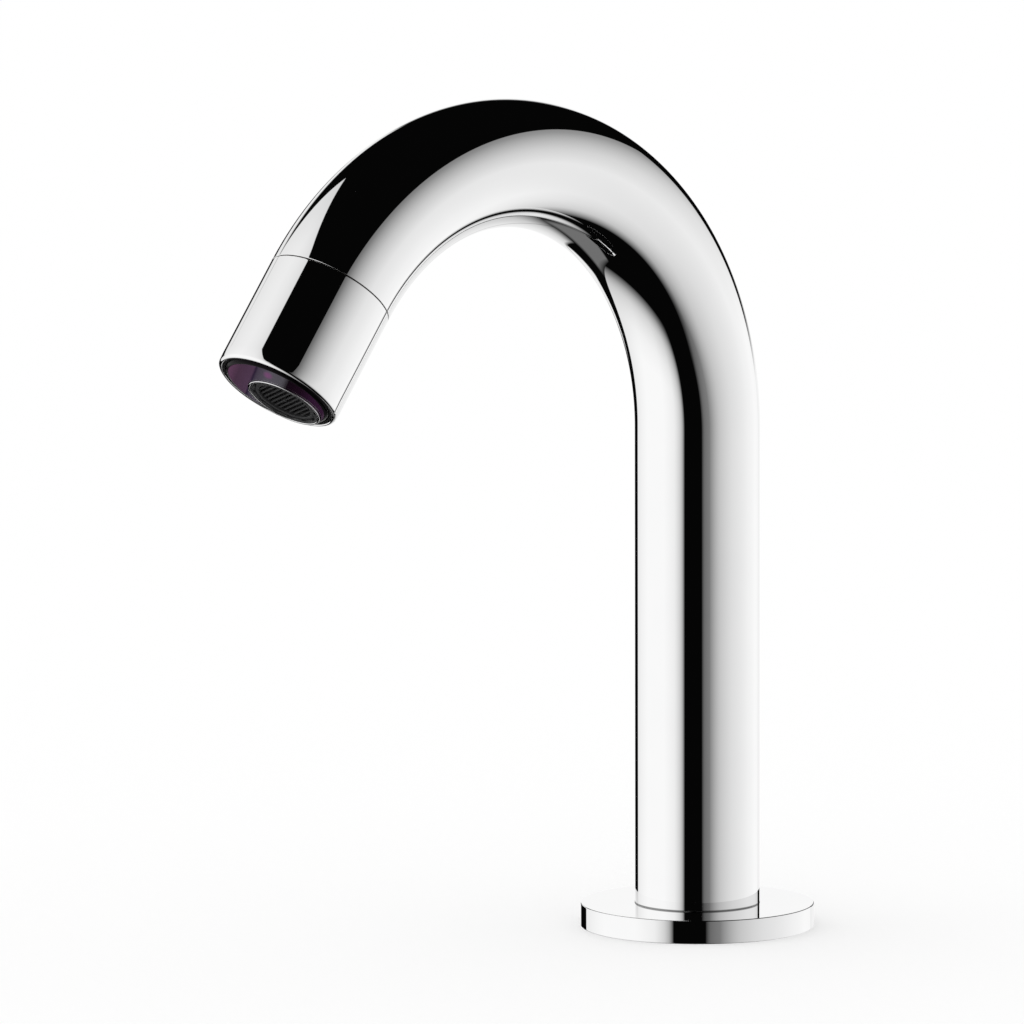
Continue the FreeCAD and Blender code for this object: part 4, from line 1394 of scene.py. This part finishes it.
@dataclass
class Aerator:
    """The screw-in cartridge: threaded shell with key slots, and the slatted outlet grid."""

    layout: Layout
    shop: Workshop
    shell_r: float = 9.08 * MM
    root_r: float = 8.78 * MM
    bore_r: float = 8.03 * MM
    inlet_r: float = 6.2 * MM
    start: float = 20.0 * MM
    end: float = 30.2 * MM
    lip: float = 1.0 * MM
    key_count: int = 12
    key_wide: float = 1.5 * MM
    key_deep: float = 1.6 * MM
    key_wall: float = 0.45 * MM
    thread_pitch: float = 1.0 * MM
    thread_from: float = 21.4 * MM
    thread_turns: int = 5
    spare_turn: float = 0.5
    grid_r: float = 7.98 * MM
    grid_ring: float = 1.0 * MM
    grid_end: float = 29.95 * MM
    grid_tall: float = 2.4 * MM
    slat_count: int = 11
    slat_pitch: float = 1.22 * MM
    slat_thick: float = 0.5 * MM
    slat_sunk: float = 0.4 * MM
    slat_turn: float = math.radians(25.0)
    pin_r: float = 0.45 * MM
    pin_proud: float = 0.3 * MM
    root_edge: float = 0.2 * MM
    run_out: float = 0.3 * MM
    end_edge: float = 0.1 * MM
    key_lap: float = 0.1 * MM
    key_sunk: float = 0.06 * MM
    key_edge: float = 0.07 * MM
    slat_edge: float = 0.08 * MM
    ring_edge: float = 0.12 * MM
    pin_edge: float = 0.3 * MM
    shell_steps: int = 3
    ring_steps: int = 4
    thread_steps: int = 96
    thread_sides: int = 8
    pin_sides: int = 32

    def build(self) -> None:
        """Makes and fits every piece of the sub-assembly."""
        self.shop.fit(self.housing(), "black_polymer", BODY_AERATOR, "aerator_housing")
        self.shop.fit(self.grid(), "black_polymer", BODY_AERATOR, "aerator_grid")
        self.shop.redress("black_rubber", "aerator_gasket", "regulator_o_ring")
        self.shop.redress("plain_steel", "filter_screen")
        self.shop.redress("white_polymer", "flow_regulator")
        # painted light: the black jet plate is dressed mid grey so that the gaps between the slats
        # look lit
        self.shop.redress("lit_gaps_grey", "jet_plate")

    def housing(self) -> bpy.types.Object:
        """Joins the turned shell, the keys round its end and the thread on its side.

        Returns:
            The cartridge's housing.
        """
        step = self.shell_r - self.key_wall
        key_foot = self.end - self.key_deep
        thread_end = self.thread_from + self.thread_pitch * (self.thread_turns + self.spare_turn)
        corners = [
            Corner(self.inlet_r, self.start),
            Corner(self.root_r, self.start, self.root_edge),
            Corner(self.root_r, thread_end + self.run_out),
            Corner(self.shell_r, thread_end + self.run_out * 2.0),
            Corner(self.shell_r, self.end, self.end_edge),
            Corner(step, self.end, self.end_edge),
            Corner(step, key_foot),
            Corner(self.bore_r, key_foot),
            Corner(self.bore_r, self.start + self.lip),
            Corner(self.inlet_r, self.start + self.lip),
        ]
        shell = lathe("shell", soften(corners, steps=self.shell_steps), self.layout.outlet)
        return polish(weld("tap_aerator_housing", [shell, self.keys(), self.thread()]))

    def keys(self) -> bpy.types.Object:
        """Stands the keys between the slots round the cartridge's end.

        Returns:
            The keys as one mesh.
        """
        outer = self.shell_r - self.key_wall + self.key_lap
        middle = (self.bore_r + outer) / 2.0
        wide = math.tau * self.bore_r / self.key_count - self.key_wide
        recipe = Recipe("KeyRing")
        count = recipe.size("Count", self.key_count, "NodeSocketInt")
        radius = recipe.size("Radius", middle)
        deep = recipe.size("Deep", self.key_deep)
        thick = recipe.size("Thick", outer - self.bore_r)
        across = recipe.size("Across", wide)
        level = recipe.size("Level", self.end - self.key_deep / 2.0 - self.key_sunk)
        circle = recipe.node("GeometryNodeMeshCircle", Vertices=count, Radius=radius)
        extent = recipe.node("ShaderNodeCombineXYZ", X=thick, Y=across, Z=deep)
        block = recipe.node("GeometryNodeMeshCube", Size=extent.outputs[0])
        turn = recipe.node("ShaderNodeCombineXYZ", Z=recipe.index() * (math.tau / self.key_count))
        stood = recipe.node(
            "GeometryNodeInstanceOnPoints",
            Points=circle.outputs[0],
            Instance=block.outputs["Mesh"],
            Rotation=turn.outputs[0],
        )
        half_step = math.pi / self.key_count
        raised = recipe.stand(stood.outputs[0], level, half_step)
        return ease(recipe.make("keys", raised, self.layout.outlet), self.key_edge)

    def thread(self) -> bpy.types.Object:
        """Winds the thread that the cartridge screws out on.

        Returns:
            The thread as one mesh.
        """
        recipe = Recipe("CartridgeThread")
        turns = recipe.size("Turns", float(self.thread_turns))
        radius = recipe.size("Radius", self.root_r)
        height = recipe.size("Height", self.thread_pitch * self.thread_turns)
        ridge = recipe.size("Ridge", self.shell_r - self.root_r)
        coil = recipe.node(
            "GeometryNodeCurveSpiral",
            Resolution=self.thread_steps,
            Rotations=turns,
            Start_Radius=radius,
            End_Radius=radius,
            Height=height,
        )
        section = recipe.node(
            "GeometryNodeCurvePrimitiveCircle", Resolution=self.thread_sides, Radius=ridge
        )
        wound = recipe.board.node(
            "GeometryNodeCurveToMesh",
            {},
            {"Curve": coil.outputs[0], "Profile Curve": section.outputs[0], "Fill Caps": True},
        )
        raised = recipe.stand(wound.outputs[0], recipe.size("Start", self.thread_from))
        return recipe.make("thread", raised, self.layout.outlet)

    def grid(self) -> bpy.types.Object:
        """Joins the grid's ring, slats and centre pin.

        Returns:
            The grid.
        """
        low = self.grid_end - self.grid_tall
        inner = self.grid_r - self.grid_ring
        top = self.grid_end - self.slat_sunk + self.pin_proud
        ring_corners = [
            Corner(inner, low),
            Corner(self.grid_r, low),
            Corner(self.grid_r, self.grid_end, self.ring_edge),
            Corner(inner, self.grid_end, self.ring_edge),
        ]
        pin_corners = [
            Corner(0.0, low),
            Corner(self.pin_r, low),
            Corner(self.pin_r, top, self.pin_edge),
            Corner(0.0, top),
        ]
        ring = lathe("ring", soften(ring_corners, steps=self.ring_steps), self.layout.outlet)
        pin = lathe(
            "pin",
            soften(pin_corners, closed=False, steps=self.shell_steps),
            self.layout.outlet,
            closed=False,
            segments=self.pin_sides,
        )
        return polish(weld("tap_aerator_grid", [ring, self.slats(), pin]))

    def slats(self) -> bpy.types.Object:
        """Lays the parallel slats, each as long as the ring is wide where it crosses.

        Returns:
            The slats as one mesh.
        """
        tall = self.grid_tall - self.slat_sunk
        span = self.slat_pitch * (self.slat_count - 1)
        recipe = Recipe("GridSlats")
        count = recipe.size("Count", self.slat_count, "NodeSocketInt")
        pitch = recipe.size("Pitch", self.slat_pitch)
        reach = recipe.size("Reach", self.grid_r - self.grid_ring / 2.0)
        thick = recipe.size("Thick", self.slat_thick)
        deep = recipe.size("Deep", tall)
        turn = recipe.size("Turn", self.slat_turn)
        level = recipe.size("Level", self.grid_end - self.grid_tall + tall / 2.0)
        start = recipe.node("ShaderNodeCombineXYZ", Y=-span / 2.0)
        step = recipe.node("ShaderNodeCombineXYZ", Y=pitch)
        line = recipe.node(
            "GeometryNodeMeshLine",
            {"mode": "OFFSET"},
            Count=count,
            Start_Location=start.outputs[0],
            Offset=step.outputs[0],
        )
        aside = recipe.index() * pitch - span / 2.0
        half = (reach * reach - aside * aside).root()
        size = recipe.node("ShaderNodeCombineXYZ", X=half * 2.0, Y=thick, Z=deep)
        block = recipe.node("GeometryNodeMeshCube", Size=(1.0, 1.0, 1.0))
        laid = recipe.node(
            "GeometryNodeInstanceOnPoints",
            Points=line.outputs[0],
            Instance=block.outputs["Mesh"],
            Scale=size.outputs[0],
        )
        raised = recipe.stand(laid.outputs[0], level, turn)
        return ease(recipe.make("slats", raised, self.layout.outlet), self.slat_edge)


# ------------------------------------------------------------------------------- studio
@dataclass(frozen=True)
class Panel:
    """One pale reflector round the tap, as the polished metal sees it.

    Attributes:
        facing: Where its middle stands, in degrees round from the spout's side towards +X.
        across: Brightness against place across it, from left to right, in tangents of the angle.
        upward: Share of that brightness against height, in the same measure.
    """

    LEAST_AHEAD = 0.001  # directions less far ahead than this never meet the panel

    facing: float
    across: Stops
    upward: Stops

    def glow(self, board: Board, direction: bpy.types.NodeSocket) -> Value:
        """Brightness that this panel sends from a direction.

        Args:
            board: The world's tree.
            direction: Where the ray goes.

        Returns:
            The brightness.
        """
        angle = math.radians(self.facing)
        ahead = board.along(direction, (math.sin(angle), -math.cos(angle), 0.0))
        aside = board.along(direction, (math.cos(angle), math.sin(angle), 0.0))
        up = board.along(direction, (0.0, 0.0, 1.0))
        depth = ahead.most(self.LEAST_AHEAD)
        return (
            self._level(board, aside / depth, self.across)
            * self._level(board, up / depth, self.upward)
            * (ahead > self.LEAST_AHEAD)
        )

    @staticmethod
    def _level(board: Board, place: Value, stops: Stops) -> Value:
        """Looks a brightness up between stops."""
        ramp = board.ramp(place, stops)
        return board.value(board.node("ShaderNodeRGBToBW", {}, {0: ramp}).outputs[0])


@dataclass
class Studio:
    """Floor, camera and the pale room that the chrome reflects."""

    eye: Point = (1.44275, -1.46446, 0.34449)
    heading: float = 45.8925
    pitch: float = -6.5905
    roll: float = -0.158
    lens: float = 284.38
    sensor: float = 36.0
    clip_end: float = 50.0
    floor_half: float = 6.0
    floor_grey: tuple[float, float, float, float] = (0.62, 0.62, 0.62, 1.0)
    floor_glow: float = 0.38
    white: Rgb = (1.0, 1.0, 1.0)
    dusk: Rgb = (0.0016, 0.0016, 0.0016)
    panels: tuple[Panel, ...] = (
        # To the right of the tap: the broad soft light on the leg, the arch and the flange.
        Panel(
            128.0,
            ((-3.8, 0.0), (-2.8, 0.14), (-1.8, 0.2), (-1.4, 0.34), (-0.87, 0.56), (-0.29, 0.74),
             (0.45, 0.9), (1.15, 0.97), (2.36, 0.95), (2.45, 0.0)),
            ((-2.37, 0.0), (-1.9, 0.37), (-1.55, 0.71), (-1.08, 0.9), (-0.75, 1.0), (0.0, 1.0),
             (0.31, 0.77), (0.76, 0.33), (0.87, 0.28), (0.88, 0.0)),
        ),
        # To its left. Between these two lies the black stripe down the leg.
        Panel(
            -45.0,
            ((-1.37, 0.0), (-1.35, 0.84), (-0.9, 0.88), (-0.27, 0.97), (0.47, 0.97), (1.07, 0.87),
             (1.54, 0.65), (1.86, 0.44), (2.28, 0.0)),
            ((-3.2, 0.0), (-2.44, 0.24), (-1.6, 0.69), (-0.93, 0.93), (-0.6, 1.0), (0.3, 1.0),
             (0.6, 0.95), (1.2, 0.86), (1.66, 0.76), (1.69, 0.0)),
        ),
        # Behind it, in two halves. The second ends lower, which leaves the arch its outer line.
        Panel(
            -138.0,
            ((-0.09, 0.0), (-0.05, 0.95), (0.22, 0.95), (0.25, 0.0)),
            ((-1.11, 0.0), (-0.75, 0.65), (-0.5, 0.85), (-0.12, 1.0), (0.17, 1.0), (0.25, 0.3),
             (0.31, 0.0)),
        ),
        Panel(
            -152.0,
            ((-0.27, 0.0), (-0.22, 0.88), (0.16, 0.95), (0.21, 0.0)),
            ((-1.11, 0.0), (-0.75, 0.65), (-0.5, 0.85), (-0.12, 1.0), (-0.06, 1.0), (0.0, 0.0)),
        ),
        # Small ones behind its left side, which bound the dark lines there.
        Panel(
            -107.0,
            ((-0.34, 0.0), (-0.32, 0.95), (0.15, 0.85), (0.2, 0.0)),
            ((0.13, 0.0), (0.17, 0.95), (0.3, 0.9), (0.36, 0.0)),
        ),
        Panel(
            -125.0,
            ((-0.6, 0.0), (-0.45, 0.16), (0.35, 0.16), (0.5, 0.0)),
            ((-3.6, 0.0), (-3.2, 1.0), (-1.3, 1.0), (-1.1, 0.0)),
        ),
        Panel(
            -119.0,
            ((-0.11, 0.0), (-0.09, 0.95), (0.09, 0.9), (0.11, 0.0)),
            ((-0.56, 0.0), (-0.5, 0.9), (-0.23, 0.95), (-0.19, 0.0)),
        ),
    )

    def build(self) -> None:
        """Sets up the room."""
        self.world()
        self.floor()
        self.camera()
        bpy.context.scene.view_settings.view_transform = "Standard"

    def world(self) -> None:
        """White to the camera, an even pale dome to plain surfaces, panels to polished ones."""
        world = bpy.data.worlds.new("Room")
        world.use_nodes = True
        world.cycles.sampling_method = "NONE"
        bpy.context.scene.world = world
        tree = world.node_tree
        tree.nodes.clear()
        board = Board(tree)
        direction = board.node("ShaderNodeTexCoord").outputs["Generated"]
        light = board.node("ShaderNodeLightPath")
        glossy = board.value(light.outputs["Is Glossy Ray"])
        seen = glossy.most(light.outputs["Is Transmission Ray"])
        glow = self.panels[0].glow(board, direction)
        for panel in self.panels[1:]:
            glow = glow.most(panel.glow(board, direction))
        mirrored = board.mix(glow, self.dusk, self.white)
        colour = board.mix(seen, self.white, mirrored)
        back = board.node("ShaderNodeBackground", {}, {"Color": colour, "Strength": 1.0})
        out = board.node("ShaderNodeOutputWorld")
        board.feed(out.inputs["Surface"], back.outputs[0])

    def floor(self) -> None:
        """Lays a pale floor that takes the tap's soft shadow."""
        shape = bmesh.new()
        half = self.floor_half
        corners = ((-half, -half), (half, -half), (half, half), (-half, half))
        shape.faces.new([shape.verts.new((x, y, 0.0)) for x, y in corners])
        floor = as_object("floor", shape)
        material = bpy.data.materials.new("pale_floor")
        material.use_nodes = True
        tree = material.node_tree
        tree.nodes.clear()
        board = Board(tree)
        light = board.node("ShaderNodeLightPath")
        camera = board.value(light.outputs["Is Camera Ray"])
        matt = board.node("ShaderNodeBsdfDiffuse", {}, {"Color": self.floor_grey})
        bright = board.node("ShaderNodeEmission", {}, {"Strength": camera * self.floor_glow})
        both = board.node("ShaderNodeAddShader", {}, {0: matt.outputs[0], 1: bright.outputs[0]})
        clear = board.node("ShaderNodeBsdfTransparent")
        seen = board.node(
            "ShaderNodeMixShader",
            {},
            {0: light.outputs["Is Glossy Ray"], 1: both.outputs[0], 2: clear.outputs[0]},
        )
        out = board.node("ShaderNodeOutputMaterial")
        board.feed(out.inputs["Surface"], seen.outputs[0])
        floor.data.materials.append(material)

    def camera(self) -> None:
        """Stands the camera where the photograph was taken from."""
        data = bpy.data.cameras.new("Camera")
        data.sensor_width = self.sensor
        data.lens = self.lens
        data.clip_end = self.clip_end
        camera = bpy.data.objects.new("Camera", data)
        bpy.context.scene.collection.objects.link(camera)
        turn = (
            Matrix.Rotation(math.radians(self.heading), 4, "Z")
            @ Matrix.Rotation(math.radians(90.0 + self.pitch), 4, "X")
            @ Matrix.Rotation(math.radians(self.roll), 4, "Z")
        )
        camera.matrix_world = Matrix.Translation(self.eye) @ turn
        bpy.context.scene.camera = camera


# ------------------------------------------------------------------------------- finishes in use
def finishes(layout: Layout) -> list[Finish]:
    """The tap's finishes, one for each slot of the record.

    Args:
        layout: The tap's driving sizes.

    Returns:
        The finishes.
    """
    face = layout.head @ Vector((0.0, 0.0, layout.head_long))
    rise = layout.head.to_3x3() @ Vector((0.0, 1.0, 0.0))
    return [
        # its dress paints contact shade in a line where the tube meets the flange
        PolishedChrome(
            "mirror_chrome", "polished_chrome", (0.98, 0.98, 0.98), (0.968, 0.968, 0.97),
            metallic=1.0, roughness=(0.006, 0.014), patch=60.0,
        ),
        Finish(
            "seal_rubber", "black_rubber", (0.003, 0.003, 0.003), (0.006, 0.006, 0.006),
            roughness=(0.5, 0.65), relief=0.01 * MM, grain_scale=4000.0, level=0.12,
        ),
        TurnedMetal(
            "turned_brass", "plain_brass", (0.72, 0.52, 0.25), (0.62, 0.43, 0.2),
            metallic=1.0, roughness=(0.22, 0.36), relief=0.01 * MM, grain_scale=9000.0,
        ),
        # painted shade: near-black brass for the coupling, so that the seam between head and bend
        # looks shaded
        Finish(
            "seam_shade_brass", "plain_brass", (0.03, 0.028, 0.026), (0.05, 0.046, 0.042),
            metallic=1.0, roughness=(0.3, 0.42), relief=0.006 * MM, grain_scale=6000.0,
        ),
        Finish(
            "hose_wall", "hose_polymer", (0.78, 0.79, 0.8), (0.7, 0.72, 0.74),
            roughness=(0.35, 0.5), relief=0.02 * MM, grain_scale=1500.0,
        ),
        Finish(
            "stainless_steel", "plain_steel", (0.6, 0.6, 0.61), (0.5, 0.5, 0.52),
            metallic=1.0, roughness=(0.25, 0.4), grain=Grain.BRAIDED, relief=0.02 * MM,
            grain_scale=2500.0,
        ),
        Finish(
            "cable_jacket", "cable_jacket", (0.02, 0.02, 0.021), (0.035, 0.035, 0.036),
            roughness=(0.4, 0.55), relief=0.01 * MM, grain_scale=2500.0,
        ),
        Finish(
            "moulded_black", "black_polymer", (0.028, 0.028, 0.029), (0.038, 0.038, 0.039),
            roughness=(0.42, 0.58), relief=0.006 * MM, grain_scale=6000.0, level=0.3,
        ),
        # painted light: the jet plate is black polymer, made mid grey so that the gaps between the
        # slats look lit
        Finish(
            "lit_gaps_grey", "black_polymer", (0.34, 0.34, 0.345), (0.28, 0.28, 0.285),
            roughness=(0.4, 0.55), relief=0.006 * MM, grain_scale=6000.0,
        ),
        BoardCopper(
            "circuit_board", "circuit_board", (0.02, 0.16, 0.07), (0.015, 0.12, 0.05),
            roughness=(0.3, 0.5),
        ),
        Finish(
            "lens_resin", "diode_resin", (0.03, 0.025, 0.045), (0.05, 0.04, 0.07),
            roughness=(0.06, 0.12), index=1.55,
        ),
        # the window's colour carries painted reflections and a painted highlight
        PlumWindow(
            "plum_window", "window_tint", (0.022, 0.006, 0.022), (0.03, 0.01, 0.03),
            roughness=(0.04, 0.08), tint=(0.9, 0.7, 0.9), level=0.06,
            centre=tuple(face), rise=tuple(rise),
        ),
        Finish(
            "moulded_white", "white_polymer", (0.8, 0.8, 0.79), (0.74, 0.74, 0.73),
            roughness=(0.35, 0.5), relief=0.006 * MM, grain_scale=5000.0,
        ),
    ]


def main() -> None:
    """Builds the studio and the tap, sub-assembly by sub-assembly."""
    logging.basicConfig(level=logging.INFO, format="%(name)s %(message)s")
    layout = Layout()
    shop = Workshop(finishes(layout))
    Studio().build()
    for part in (
        Spout(layout, shop),
        Head(layout, shop),
        SensorFace(layout, shop),
        Outlet(layout, shop),
        Aerator(layout, shop),
    ):
        part.build()
        log.info("%s is built", type(part).__name__)


if __name__ == "__main__":
    main()
